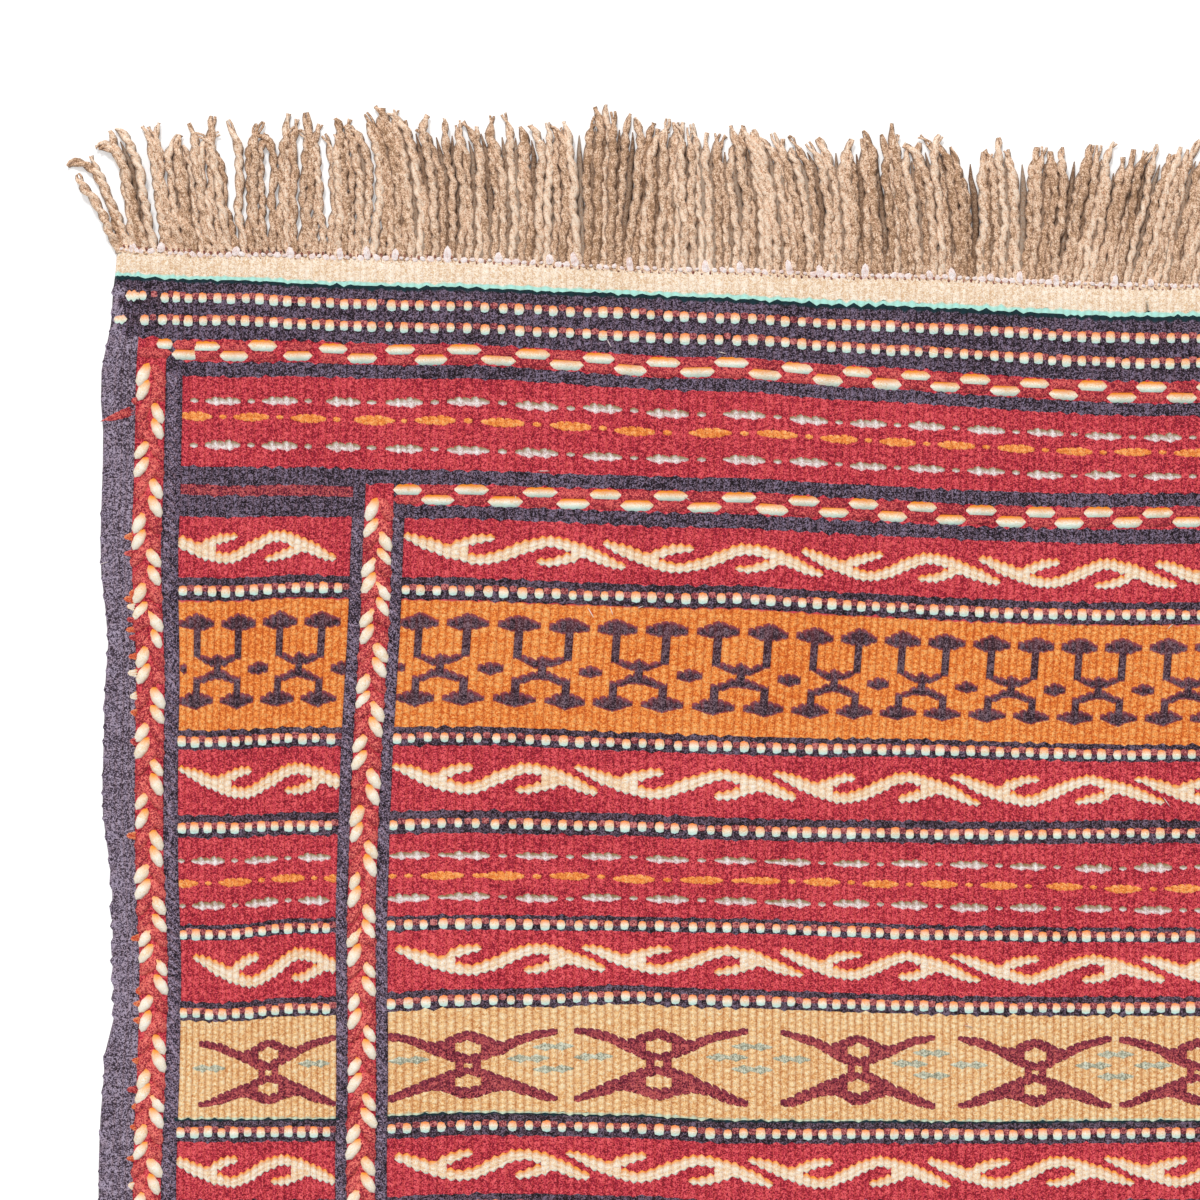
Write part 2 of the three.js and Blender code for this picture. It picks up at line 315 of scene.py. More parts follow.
# How much each pattern adds to the speckle, and how far fibres and fuzz stand up.
FIBRE_SPECKLE, FUZZ_SPECKLE, KNOT_SPECKLE, LOT_SPECKLE = 2.8, 1.8, 0.35, 0.5
FIBRE_RELIEF, FUZZ_RELIEF, BUMP_DEPTH = 0.7, 0.4, 0.7 * MM
# Painted crevice shade is tinted like light bounced off the wool beside it: most blue lost, least red.
CREVICE_TINT = (0.65, 1.0, 1.15)
WOOL_SURFACE = {"Roughness": 0.95, "Specular IOR Level": 0.12, "Sheen Weight": 0.1, "Sheen Roughness": 0.6}
WHITE = (1, 1, 1, 1)
MATH, MIX, NOISE = "ShaderNodeMath", "ShaderNodeMix", "ShaderNodeTexNoise"
# The numbers of the sockets that a mix node uses for colours.
MIX_BY, MIX_FROM, MIX_TO, MIXED = 0, 6, 7, 2


def linear(colour):
    """An sRGB hex colour as linear red, green, blue and alpha."""
    parts = np.array([int(colour[i:i + 2], 16) for i in (1, 3, 5)]) / 255
    curve = np.where(parts <= 0.04045, parts / 12.92, ((parts + 0.055) / 1.055) ** 2.4)
    return (*curve.tolist(), 1.0)


def add(tree, kind, inputs=(), output=0, **settings):
    """Adds a node with its settings, sets or links its inputs, and returns one of its outputs."""
    node = tree.nodes.new(kind)
    for name, value in settings.items():
        setattr(node, name, value)
    for socket, value in inputs.items() if isinstance(inputs, dict) else enumerate(inputs):
        if isinstance(value, bpy.types.NodeSocket):
            tree.links.new(value, node.inputs[socket])
        else:
            node.inputs[socket].default_value = value
    return node.outputs[output]


# %% The wool material
def wool(name, dark, middle, light, warm=None, cool=None, relief=0.5, crevice_shade=0.25, knots=1.0,
         speckle=1.0, strands=0.0):
    """Hand-spun dyed wool. Dark to light is the speckle, warm and cool are edge tints; on the fringe warm is
    painted shade.
    """
    material = bpy.data.materials.new(name)
    material.use_nodes = True
    tree = material.node_tree
    surface = tree.nodes["Principled BSDF"]

    weave = add(tree, "ShaderNodeAttribute", output="Vector", attribute_name="weave")
    rib, knot, tint = add(tree, "ShaderNodeSeparateXYZ", (weave,)).node.outputs
    rib_number = add(tree, MATH, (rib,), operation="FLOOR")
    row = add(tree, MATH, (rib_number, 0.5, knot), operation="MULTIPLY_ADD")
    row_number = add(tree, MATH, (row,), operation="FLOOR")
    rounded = []
    for number, rounding in ((rib, RIB_ROUNDING), (row, KNOT_ROUNDING)):
        from_valley = add(tree, MATH, (number, 0.5), operation="PINGPONG")
        from_valley = add(tree, MATH, (from_valley, 2.0), operation="MULTIPLY")
        rounded.append(add(tree, MATH, (from_valley, rounding), operation="POWER"))
    ridge, lump = rounded
    lump = add(tree, MATH, (lump, 0.5 * knots, 1 - 0.5 * knots), operation="MULTIPLY_ADD")
    dome = add(tree, MATH, (ridge, lump), operation="MULTIPLY")

    spot = add(tree, "ShaderNodeTexCoord", output="Object")
    cell = add(tree, "ShaderNodeCombineXYZ", (rib_number, row_number))
    each_knot = add(tree, "ShaderNodeTexWhiteNoise", {"Vector": cell}, noise_dimensions="2D")
    each_strand = add(tree, "ShaderNodeTexWhiteNoise", {"W": rib_number}, noise_dimensions="1D")
    fibre_inputs = {"Vector": spot, "Scale": 1 / FIBRE_SIZE, "Detail": 1.0, "Distortion": FIBRE_CURL}
    fibre = add(tree, NOISE, fibre_inputs)
    fuzz = add(tree, NOISE, {"Vector": spot, "Scale": 1 / FUZZ_SIZE, "Detail": 1.0})
    dye_lot = add(tree, NOISE, {"Vector": spot, "Scale": 1 / DYE_LOT_SIZE, "Detail": 2.0})

    sources = ((fibre, FIBRE_SPECKLE * speckle), (fuzz, FUZZ_SPECKLE * speckle), (each_knot, KNOT_SPECKLE),
               (dye_lot, LOT_SPECKLE), (each_strand, strands))
    mottle = 0.5 - sum(weight for _, weight in sources) / 2
    for source, weight in sources:
        mottle = add(tree, MATH, (source, weight, mottle), operation="MULTIPLY_ADD")
    colour = add(tree, "ShaderNodeValToRGB", (mottle,))
    ramp = colour.node.color_ramp
    ramp.elements[0].color = linear(dark)
    ramp.elements[1].color = linear(light)
    ramp.elements.new(0.5).color = linear(middle)
    for edge, sign in ((warm, 1.0), (cool, -1.0)):
        if edge:
            taken = add(tree, MATH, (tint, sign), operation="MULTIPLY", use_clamp=True)
            stained = {MIX_BY: taken, MIX_FROM: colour, MIX_TO: linear(edge)}
            colour = add(tree, MIX, stained, output=MIXED, data_type="RGBA")
    # Painted shade darkens the colour in the valleys between ribs and knots and leaves their tops as they
    # are.
    darkest = (*(1 - crevice_shade * share for share in CREVICE_TINT), 1)
    shade = add(tree, MIX, {MIX_BY: dome, MIX_FROM: darkest, MIX_TO: WHITE}, output=MIXED, data_type="RGBA")
    shaded = {MIX_BY: 1.0, MIX_FROM: colour, MIX_TO: shade}
    colour = add(tree, MIX, shaded, output=MIXED, data_type="RGBA", blend_type="MULTIPLY")

    height = add(tree, MATH, (fibre, FIBRE_RELIEF, dome), operation="MULTIPLY_ADD")
    height = add(tree, MATH, (fuzz, FUZZ_RELIEF, height), operation="MULTIPLY_ADD")
    normal = add(tree, "ShaderNodeBump", {"Strength": relief, "Distance": BUMP_DEPTH, "Height": height})
    tree.links.new(colour, surface.inputs["Base Color"])
    tree.links.new(normal, surface.inputs["Normal"])
    for name, value in WOOL_SURFACE.items():
        surface.inputs[name].default_value = value
    return material


# %% [markdown]
# Each dye lot is the same wool in other colours. What differs to the eye is how deep the painted shade
# in the crevices is, how much the dye has mottled, and whether the yarn is a single one with knots or a
# plied one without.

# %% The dye lots
WARM_BLEED, COOL_BLEED = "#F89A2C", "#C4F8F4"
# Undyed wool is a warm white with soft shadows.
ivory_wool = wool("undyed ivory wool", "#E0BE98", "#F8E4CA", "#FFF6E6", cool="#B4F0E4", relief=0.4,
                  crevice_shade=0.26)
# Indigo over madder is nearly black, and only its loose fibres catch a violet light.
navy_wool = wool("indigo and madder dark wool", "#181018", "#443746", "#887A94", crevice_shade=0.45, speckle=1.5,
                 cool="#17343C")
# Between the beads the same wool is a little darker, which is painted shade round the raised beads.
shaded_navy_wool = wool("dark wool between beads", "#140E14", "#443441", "#7E6E84", crevice_shade=0.5, speckle=1.3,
                        cool="#17343C")
# At the side edge the same wool is rubbed and has gone dusty.
selvedge_wool = wool("worn dark overcast wool", "#342832", "#72657A", "#AC9FB4", knots=0.6, crevice_shade=0.36,
                     speckle=1.6)
# Madder is full and uneven, and painted shade makes it deep red between the ribs, rosy on top of them.
red_wool = wool("madder red wool", "#861A2E", "#CC374A", "#F0666C", crevice_shade=0.5, speckle=1.4)
# Orange and camel are clear, thin dyes, and the deep painted shade in their crevices is warm, not grey.
orange_wool = wool("orange dyed wool", "#DA6A28", "#FF9A44", "#FFC27A", warm="#D85060", crevice_shade=0.65)
orange_figure_wool = wool("orange figure wool", "#D87430", "#FF9A48", "#FFBE78", crevice_shade=0.35)
tan_wool = wool("camel coloured wool", "#E0A264", "#FFD89C", "#FFEFC6", cool="#D0E8D0", crevice_shade=0.7,
                speckle=0.9)
# Bleached wool is bright and even, which makes its threads look plump.
cream_wool = wool("bleached cream wool", "#F4CC9C", "#FFEED2", "#FFFBF0", warm=WARM_BLEED, cool=COOL_BLEED,
                  crevice_shade=0.45, speckle=0.8)
bead_wool = wool("cream bead wool", "#F8CC98", "#FFEED0", "#FFFBF0", warm="#FA9450", cool=COOL_BLEED,
                 crevice_shade=0.3, speckle=0.8)
plied_cream_wool = wool("plied cream wool", "#F4D4A8", "#FFF2DA", "#FFFBF2", warm=WARM_BLEED, cool="#F4EEE0",
                        knots=0.0, crevice_shade=0.25, speckle=0.7)
# The dark and dull reds are a deep ground under pale loose fibres.
maroon_wool = wool("dark red wool", "#541628", "#9C384A", "#D06866", warm="#782C44", crevice_shade=0.4,
                   speckle=1.4)
gap_wool = wool("dull red wool", "#5A2230", "#A64C52", "#D88884", crevice_shade=0.4, speckle=1.2)
flat_red_wool = wool("crimson plied wool", "#761A2A", "#B83844", "#E46C66", knots=0.0, crevice_shade=0.5,
                     speckle=1.3)
# The figures' dark and rose wools have taken up other dyes at their edges, and the green has not.
violet_wool = wool("dark violet wool", "#1B1018", "#4A3442", "#806C78", warm="#A4464E", cool="#B04C52",
                   crevice_shade=0.38, speckle=1.3)
pale_wool = wool("pale rose wool", "#C8B0AC", "#F4EAE8", "#FFFFFF", warm="#8F7442", cool="#F8CCD4",
                 crevice_shade=0.4, speckle=1.2)
green_wool = wool("pale green wool", "#929884", "#BDC4AE", "#E0E6D2", crevice_shade=0.45, speckle=1.3)
# Plied and wrapping yarns are smooth and round, with deep painted shade in the creases between the turns.
plied_red_wool = wool("plied red wool", "#842030", "#CC464C", "#F28074", knots=0.0, crevice_shade=0.55,
                      speckle=1.4)
rope_wool = wool("dark wrapping wool", "#1A121C", "#58485E", "#A696AE", knots=0.0, crevice_shade=0.85,
                 speckle=1.5)
# Cut ends and sewing thread are soft, with only faint shadows.
tuft_wool = wool("loose orange wool ends", "#C03E34", "#E4683E", "#F8A878", knots=0.0)
root_wool = wool("dark red root stitches", "#6A3A34", "#9C6256", "#C08C78", knots=0.0)
thread_wool = wool("pinkish cotton thread", "#E4C4BA", "#FBEAE6", "#FFF9F8", knots=0.0, crevice_shade=0.1,
                   speckle=0.7)
# The warps are undyed brown wool, each strand a little paler or darker than the next.
# Its warm tint is dark brown painted shade, low on the plies, under crossings and on the lower strands.
fringe_wool = wool("twisted undyed brown wool", "#A07A5A", "#F0C8A8", "#FFEAD4", warm="#4A2E1C",
                   relief=0.6, knots=0.0, crevice_shade=0.15, speckle=0.85, strands=0.6)
print(len(bpy.data.materials), "kinds of wool")

# %% [markdown]
# ## Meshes from arrays
# The rug has thousands of small threads. Making an object of each would be slow, so each kind of thread
# is one joined mesh, made from arrays. This helper takes points in millimetres and the weave numbers
# for the shader, and returns an object.


def piece(name, points, faces, weave, materials, slot, material_numbers=None):
    """A smooth mesh object of points in millimetres that rides on the rug."""
    mesh = bpy.data.meshes.new(name)
    points = np.asarray(points, float).reshape(-1, 3)
    mesh.from_pydata((points * MM).tolist(), [], np.asarray(faces).tolist())
    values = np.asarray(weave, np.float32).ravel()
    mesh.attributes.new("weave", "FLOAT_VECTOR", "POINT").data.foreach_set("vector", values)
    for material in materials:
        mesh.materials.append(material)
    if material_numbers is not None:
        mesh.polygons.foreach_set("material_index", np.asarray(material_numbers, np.int32))
    mesh.polygons.foreach_set("use_smooth", np.ones(len(mesh.polygons), bool))
    mesh.update()
    thing = bpy.data.objects.new(name, mesh)
    bpy.context.scene.collection.objects.link(thing)
    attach(thing, "root")
    print(f"{name}: {sum(len(polygon.vertices) - 2 for polygon in mesh.polygons)} triangles")
    return thing


def grid_faces(rows, columns):
    """The quads of a grid of points, numbered row by row. They face up where rows run down the cloth."""
    first = np.arange(rows - 1)[:, None] * columns + np.arange(columns - 1)[None, :]
    return np.stack([first, first + columns, first + columns + 1, first + 1], axis=-1).reshape(-1, 4)


def repeated(faces, points_each, count):
    """The faces of many like parts, each with its own points."""
    return (np.arange(count)[:, None, None] * points_each + faces[None]).reshape(-1, faces.shape[1])


# %% [markdown]
# ## The bands
# The rug is woven from end to end in bands. Each row here is a band and its height. Ends, border and
# field are lists of their own, and the field's list repeats three times with five more bands to close
# it. All later cells read where a band lies from here.

# %% Bands from end to end
# Rows are (kind of band, height in mm).
END_BANDS = (("ivory", 9.0), ("navy", 4.4), ("dots", 4.0), ("navy", 3.7), ("dots", 4.0), ("navy", 3.5))
BORDER_BANDS = (("dashes", 7.2), ("navy", 5.0), ("spots", 32.9), ("navy", 5.0))
FRAME_BANDS = (("dashes", 7.4), ("navy", 4.6))
FIELD_REPEAT = (
    ("hooks", 21.0), ("beads", 8.0), ("orange", 46.4), ("beads", 6.9), ("hooks", 22.3), ("beads", 8.0),
    ("spots", 29.0), ("beads", 5.3), ("hooks", 20.5), ("beads", 6.7), ("tan", 37.8), ("beads", 8.1),
    ("hooks", 21.0), ("beads", 7.5), ("spots", 27.0), ("beads", 7.5),
)
FIELD_BANDS = FIELD_REPEAT * 3 + FIELD_REPEAT[:5]
# The first bands are as measured. Those after them are beaten a little tighter, to end at the border.
MEASURED_BANDS = 12


def stack(bands, start, region):
    """Bands one after another, each as (kind, start, height, region)."""
    rows = []
    for kind, height in bands:
        rows.append((kind, start, height, region))
        start += height
    return rows


near_bands = stack(END_BANDS, 0, "whole")
near_bands += stack(BORDER_BANDS, near_bands[-1][1] + near_bands[-1][2], "border")
near_bands += stack(FRAME_BANDS, near_bands[-1][1] + near_bands[-1][2], "frame")
FIELD_START = near_bands[-1][1] + near_bands[-1][2]
measured = sum(height for _, height in FIELD_BANDS[:MEASURED_BANDS])
rest = sum(height for _, height in FIELD_BANDS[MEASURED_BANDS:])
tightness = (WOVEN_LENGTH - 2 * FIELD_START - measured) / rest
field_bands = FIELD_BANDS[:MEASURED_BANDS]
field_bands += tuple((kind, height * tightness) for kind, height in FIELD_BANDS[MEASURED_BANDS:])
far_bands = [(kind, WOVEN_LENGTH - start - height, height, region)
             for kind, start, height, region in reversed(near_bands)]
bands = near_bands + stack(field_bands, FIELD_START, "field") + far_bands


def bands_of(*kinds):
    """The bands of these kinds, each as (start, height, region)."""
    return [(start, height, region) for kind, start, height, region in bands if kind in kinds]


print(len(bands), "bands, the last of which ends at", bands[-1][1] + bands[-1][2], "mm")

# %% [markdown]
# ## The cloth's face
# The face is one sheet. It has two columns of points for each rib, one in the valley and one on the
# crest, so the ribs are real relief. Its rows fall on the edges of the bands, and the crests of
# neighbouring ribs are half a knot apart, as bricks are, which gives each band's edge the small teeth
# that weft knots give it. Colours are set face by face, from the band and the zone a face lies in.

# %% Columns and rows of the cloth
RIB_DEPTH = 0.28
CREST = THICKNESS + 0.15
TOOTH = 0.22
TOOTH_JITTER = 0.55
TALLEST_ROW = 16.0
SIDE_LINE_START, SIDE_LINE_END = 80.0, 83.5
END_ROUNDING = 1.0

# Some edges have taken up a neighbour's dye. Rows are (place of the edge, tint, how far on each side).
TINTED_EDGES = [(END_BANDS[0][1], -1, 1.45), (WOVEN_LENGTH - END_BANDS[0][1], -1, 1.45)]
TINT_FADES = 0.5
TINTED_EDGES += [(start, 1, 0.6) for start, _, _ in bands_of("orange")]
TINTED_EDGES += [(start + height, -1, 0.9) for start, height, _ in bands_of("tan")]

edges = {float(start) for _, start, _, _ in bands} | {WOVEN_LENGTH}
for from_end in (SIDE_LINE_START, SIDE_LINE_END, END_ROUNDING):
    edges |= {from_end, WOVEN_LENGTH - from_end}
for start, _, tint_reach in TINTED_EDGES:
    edges |= {start + sign * away for sign in (-1, 1) for away in (tint_reach - TINT_FADES, tint_reach)}
edges = sorted(edges)
row_places = [0.0]
for low, high in zip(edges[:-1], edges[1:]):
    steps = int(np.ceil((high - low) / TALLEST_ROW))
    row_places += [low + (high - low) * (step + 1) / steps for step in range(steps)]
row_places = np.array(row_places)
column_places = np.arange(2 * RIBS + 1) / 2
print(len(row_places), "rows and", len(column_places), "columns of points")


# %% Which wool a face shows
FACE_WOOLS = {
    "ivory": ivory_wool, "navy": navy_wool, "red": red_wool, "orange": orange_wool, "tan": tan_wool,
    "selvedge": selvedge_wool, "maroon": maroon_wool, "shaded navy": shaded_navy_wool,
}
DYES = list(FACE_WOOLS)
BAND_DYES = {
    "ivory": "ivory", "navy": "navy", "dots": "shaded navy", "beads": "shaded navy", "dashes": "red",
    "spots": "red", "hooks": "red", "orange": "orange", "tan": "tan",
}
# Rows are (zone, dye). A region of the rug shows the first few of these zones at its sides.
ZONE_DYES = (
    ("selvedge", "selvedge"), ("outer column", "red"), ("outer line", "navy"),
    ("inner line", "navy"), ("last line", "navy"), ("inner column", "red"),
)
ZONES_SHOWN = {"whole": 0, "border": 3, "frame": 6, "field": 6}


def in_zone(ribs, zone):
    first, last = zone_starts[zone]
    return (ribs >= first) & (ribs < last)


def row_dyes(ribs, kind, along, region):
    """The dye of each face in one row of the cloth, for ribs counted from the nearer side."""
    dyes = np.full(len(ribs), DYES.index(BAND_DYES[kind]))
    for zone, dye in ZONE_DYES[:ZONES_SHOWN[region]]:
        dyes[in_zone(ribs, zone)] = DYES.index(dye)
    if region == "frame":
        thin_line = SIDE_LINE_START <= min(along, WOVEN_LENGTH - along) < SIDE_LINE_END
        dyes[in_zone(ribs, "side field")] = DYES.index("maroon" if thin_line else "navy")
    return dyes


def sheet_dyes(columns):
    """The dye of each face of a sheet, row by row, with columns of points at these ribs."""
    middles = (columns[:-1] + columns[1:]) / 2
    middles = np.minimum(middles, RIBS - middles)
    starts = [start for _, start, _, _ in bands]
    dyes = []
    for along in (row_places[:-1] + row_places[1:]) / 2:
        kind, _, _, region = bands[np.searchsorted(starts, along) - 1]
        dyes.append(row_dyes(middles, kind, along, region))
    return np.concatenate(dyes)


dye_numbers = sheet_dyes(column_places)
print("faces of each dye:", dict(zip(DYES, np.bincount(dye_numbers, minlength=len(DYES)).tolist())))


# %% The face as a sheet
EDGE_ROUNDING = 2.2
EDGE_HEIGHT = 1.3
END_DROP = 0.5
UNEVENNESS = 0.22
# Rows are (mm to a radian of the wave, how far it wanders, mm to a radian of that, where that starts).
UNEVEN_WAVES = ((31, 1.3, 47, 0), (23, 0.8, 39, 2))
# The two sheets lie this far over the floor.
FOOT_HEIGHT, BACK_HEIGHT = 0.02, 0.01


def surface_height(x, y):
    """The gentle unevenness of cloth that lies on a floor, in millimetres."""
    waves = 0
    for (size, wander, wander_size, start), own, other in zip(UNEVEN_WAVES, (x, y), (y, x)):
        waves = waves + np.sin(own / size + wander * np.sin(other / wander_size + start))
    return UNEVENNESS * waves / len(UNEVEN_WAVES)


rib_grid, along_grid = np.meshgrid(column_places, row_places)
on_crest = rib_grid % 1 == 0.5
odd_rib = np.floor(rib_grid) % 2 == 1
inner_row = (along_grid > 0) & (along_grid < WOVEN_LENGTH)
teeth = np.where(odd_rib, TOOTH, -TOOTH)
teeth = teeth + np.random.default_rng(seed=7).uniform(-TOOTH_JITTER, TOOTH_JITTER, teeth.shape)
teeth = np.where(on_crest & inner_row, teeth, 0)
x, y = place(rib_grid, along_grid + teeth)
across = np.interp(rib_grid, rib_marks, across_marks)
from_side = np.minimum(across, WIDTH - across)
from_end = np.minimum(along_grid, WOVEN_LENGTH - along_grid)
rounding = (CREST - EDGE_HEIGHT) * np.maximum(0, 1 - from_side / EDGE_ROUNDING) ** 2
rounding = rounding + END_DROP * np.maximum(0, 1 - from_end / END_ROUNDING)
z = CREST - np.where(on_crest, 0, RIB_DEPTH) - rounding + surface_height(x, y)
top = np.stack([x, y, z], axis=-1)

rows, columns = rib_grid.shape
numbers = np.arange(rows * columns).reshape(rows, columns)
rim_numbers = np.concatenate([numbers[0], numbers[1:, -1], numbers[-1, -2::-1], numbers[-2:0:-1, 0]])
foot = top.reshape(-1, 3)[rim_numbers] * (1, 1, 0) + (0, 0, FOOT_HEIGHT)
foot_numbers = rows * columns + np.arange(len(rim_numbers))
side_faces = np.stack([rim_numbers, np.roll(rim_numbers, -1), np.roll(foot_numbers, -1), foot_numbers],
                      axis=-1)
tint = sum(sign * (np.abs(along_grid - edge) < tint_reach - TINT_FADES / 2)
           for edge, sign, tint_reach in TINTED_EDGES)
weave = np.stack([rib_grid, along_grid / KNOT_HEIGHT, tint], axis=-1).reshape(-1, 3)
weave = np.concatenate([weave, weave[rim_numbers]])
# The rim starts along the near end, and the far end follows after one side.
far_end = columns + rows - 2
side_dyes = np.full(len(side_faces), DYES.index("selvedge"))
side_dyes[:columns - 1] = side_dyes[far_end:far_end + columns - 1] = DYES.index("ivory")

face_materials = list(FACE_WOOLS.values())
cloth_face = piece(
    "cloth_face", np.concatenate([top.reshape(-1, 3), foot]),
    np.concatenate([grid_faces(rows, columns), side_faces]), weave, face_materials, "woven_wool",
    np.concatenate([dye_numbers, side_dyes]))
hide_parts("woven_cloth")

# %% [markdown]
# ## The cloth's back
# A kilim has no pile and no lining, so its back shows the same bands. Nobody sees it while the rug
# lies, so it is a plain sheet with few points, and the shader draws its ribs.

# %% The back as a sheet
BACK_COLUMN_RIBS = 7
back_columns = np.unique(np.concatenate([np.arange(0, RIBS, BACK_COLUMN_RIBS), rib_marks]))
back_ribs, back_along = np.meshgrid(back_columns, row_places)
x, y = place(back_ribs, back_along)
back_points = np.stack([x, y, np.full_like(x, BACK_HEIGHT)], axis=-1)
back_weave = np.stack([back_ribs, back_along / KNOT_HEIGHT, np.zeros_like(x)], axis=-1)
cloth_back = piece("cloth_back", back_points, grid_faces(*x.shape)[:, ::-1], back_weave, face_materials,
                   "woven_wool", sheet_dyes(back_columns))
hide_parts("woven_cloth")

# %% [markdown]
# ## Threads that make the figures
# The figures are woven with extra threads, which stand a little proud of the ground. A figure is a set
# of runs: a run covers one rib from one place along to another. Each run becomes a low strip with its
# crest over the rib. Where a run has a neighbour, both bend to meet at their shared side, so a figure's
# outline runs smoothly. Cream threads are thicker and swell at each knot like pearls.

# %% Runs that meet their neighbours
TIP, TIP_SHARE = 0.4, 0.3
PEARL_SCALLOP, SCALLOP = 0.6, 0.35
LARGEST_STEP = 3.4
LARGEST_GAP = 0.3
# Where the strips stop over the valleys, in mm, and how far from a rib's middle the shader is told so,
# which darkens their edges with painted shade.
STRIP_FOOT, STRIP_EDGE = 0.03 - RIB_DEPTH, 0.48
# A strip's rows of points have these rises and half widths in ribs, where one is the strip's own rise.
PLAIN_END, PLAIN_TOP = (-0.3, 0.5), (1.0, 0.5)
PEARL_END, PEARL_TOP, PEARL_WAIST = (-0.3, 0.36), (1.4, 0.56), (0.7, 0.48)
# How far a plain strip's slopes reach at most, as (share of its length, share of a knot).
FIRST_SLOPE, LAST_SLOPE = (0.4, 0.8), (0.3, 0.5)
# The columns of a shaped run that hold its start and its end on the crest.
CREST_START, CREST_END = 2, 5
# A thread's ends take up the dye beside them. These start so strong and fade by one in so many mm.
WARM_START, WARM_FADE, COOL_START, COOL_FADE = 1.8, 0.9, 0.9, 1.0


def towards(own, others):
    """Half way from a run's end to the nearest end beside it, unless that is a step of its own."""
    nearest = min(others, key=lambda other: abs(other - own))
    return (own + nearest) / 2 if abs(nearest - own) < LARGEST_STEP else own


def contours(runs):
    """Each run as its rib, and its starts and ends at the left side, the crest and the right side."""
    spans = {}
    for rib, low, high in runs:
        spans.setdefault(rib, []).append((low, high))
    shaped = []
    for rib, low, high in runs:
        starts, ends = [low] * 3, [high] * 3
        for side in (-1, 1):
            beside = [span for span in spans.get(rib + side, ()) if span[0] < high and span[1] > low]
            if beside:
                starts[1 + side] = towards(low, [span[0] for span in beside])
                ends[1 + side] = towards(high, [span[1] for span in beside])
            else:
                tip = min(TIP, (high - low) * TIP_SHARE)
                starts[1 + side], ends[1 + side] = low + tip, high - tip
        shaped.append((rib, *starts, *ends))
    return np.array(shaped)


def knot_rows(knots, pearls):
    """The rows of a strip's points, as (share of its length, rise, half width in ribs)."""
    if not pearls:
        first, last = (min(share, part / knots) for share, part in (FIRST_SLOPE, LAST_SLOPE))
        return np.array([(0, *PLAIN_END), (first, *PLAIN_TOP), (1 - last, *PLAIN_TOP), (1, *PLAIN_END)])
    rows = [(0, *PEARL_END)]
    for knot in range(knots):
        rows.append(((knot + 0.5) / knots, *PEARL_TOP))
        if knot < knots - 1:
            rows.append(((knot + 1) / knots, *PEARL_WAIST))
    return np.array(rows + [(1, *PEARL_END)])


def strips(name, runs, material, slot, rise, pearls=False):
    """One mesh of strips from runs, which are rows of (rib, start, end) in millimetres."""
    shaped = contours(runs)
    scallop = PEARL_SCALLOP if pearls else SCALLOP
    shaped[:, CREST_START] -= scallop
    shaped[:, CREST_END] += scallop
    lengths = shaped[:, CREST_END] - shaped[:, CREST_START]
    counts = np.maximum(1, np.round(lengths / KNOT_HEIGHT)).astype(int)
    points, faces, weave, count = [], [], [], 0
    sides = np.array([-1.0, 0.0, 1.0])
    for knots in np.unique(counts):
        ribs, starts, ends = np.split(shaped[counts == knots], [1, 4], axis=1)
        share, lift, half_width = knot_rows(knots, pearls).T
        rib = ribs[:, :, None] + 0.5 + sides * half_width[None, :, None]
        along = starts[:, None, :] + (ends - starts)[:, None, :] * share[None, :, None]
        crest = np.broadcast_to((lift * rise)[None, :, None], rib.shape)
        x, y = place(rib, along)
        height = np.where(sides == 0, crest, STRIP_FOOT)
        points.append(np.stack([x, y, CREST + height + surface_height(x, y)], axis=-1).reshape(-1, 3))
        from_start, from_end = along - starts[:, None, :], ends[:, None, :] - along
        tint = np.clip(WARM_START - from_start / WARM_FADE, 0, 1)
        tint = tint - np.clip(COOL_START - from_end / COOL_FADE, 0, 1)
        first_row = np.round(starts[:, None, :1] / KNOT_HEIGHT)
        row = first_row + share[None, :, None] * knots - ribs[:, :, None] / 2
        inside = ribs[:, :, None] + 0.5 + sides * STRIP_EDGE
        weave.append(np.stack(np.broadcast_arrays(inside, row, tint), axis=-1).reshape(-1, 3))
        faces.append(repeated(grid_faces(len(share), 3), 3 * len(share), len(ribs)) + count)
        count += ribs.size * 3 * len(share)
    piece(name, *map(np.concatenate, (points, faces, weave)), [material], slot)


def joined(spans):
    """Merges the spans (start, end) of one rib where they touch."""
    merged = []
    for low, high in sorted(spans):
        if merged and low <= merged[-1][1] + LARGEST_GAP:
            merged[-1][1] = max(merged[-1][1], high)
        else:
            merged.append([low, high])
    return merged


FIELD_ZONES = (
    zone_starts["side field"],
    (SIDE_RIBS, SIDE_RIBS + FIELD_RIBS),
    tuple(RIBS - rib for rib in reversed(zone_starts["side field"])),
)
random = np.random.default_rng(seed=11)
print("figures are woven in ribs", FIELD_ZONES)

# %% [markdown]
# ## Cream hooks
# Each narrow red band carries a running hook: a thick line that sinks, rises and sinks again, with a
# barb on each bend. It looks the same when it is turned half round, so half of it is enough. The lines
# are set out as a few points, and each rib takes the span of line that crosses it.

# %% Hook figure
HOOK_REPEAT = 24
HOOK_MIDDLE = (13.2, 11.4)
HOOK_JITTER = 0.3
# Rows are (ribs from the tip, depth in the band in mm, thickness of the line in mm).
HOOK_LINE = (
    (-0.4, 6.9, 1.8), (1.0, 8.1, 3.4), (2.8, 10.1, 4.8), (5.9, 13.1, 4.8), (8.8, 15.4, 3.6),
    (10.5, 14.6, 4.2), (13.2, 11.4, 5.2),
)
HOOK_BARB = ((5.6, 11.0, 4.4), (7.6, 8.9, 4.0), (9.0, 7.8, 3.2), (10.6, 7.5, 1.9))


def turned(line):
    """A line turned half round about the middle of the hook."""
    middle_rib, middle_depth = HOOK_MIDDLE
    return tuple((2 * middle_rib - rib, 2 * middle_depth - depth, thickness)
                 for rib, depth, thickness in reversed(line))


HOOK_LINES = (HOOK_LINE, turned(HOOK_LINE), HOOK_BARB, turned(HOOK_BARB))

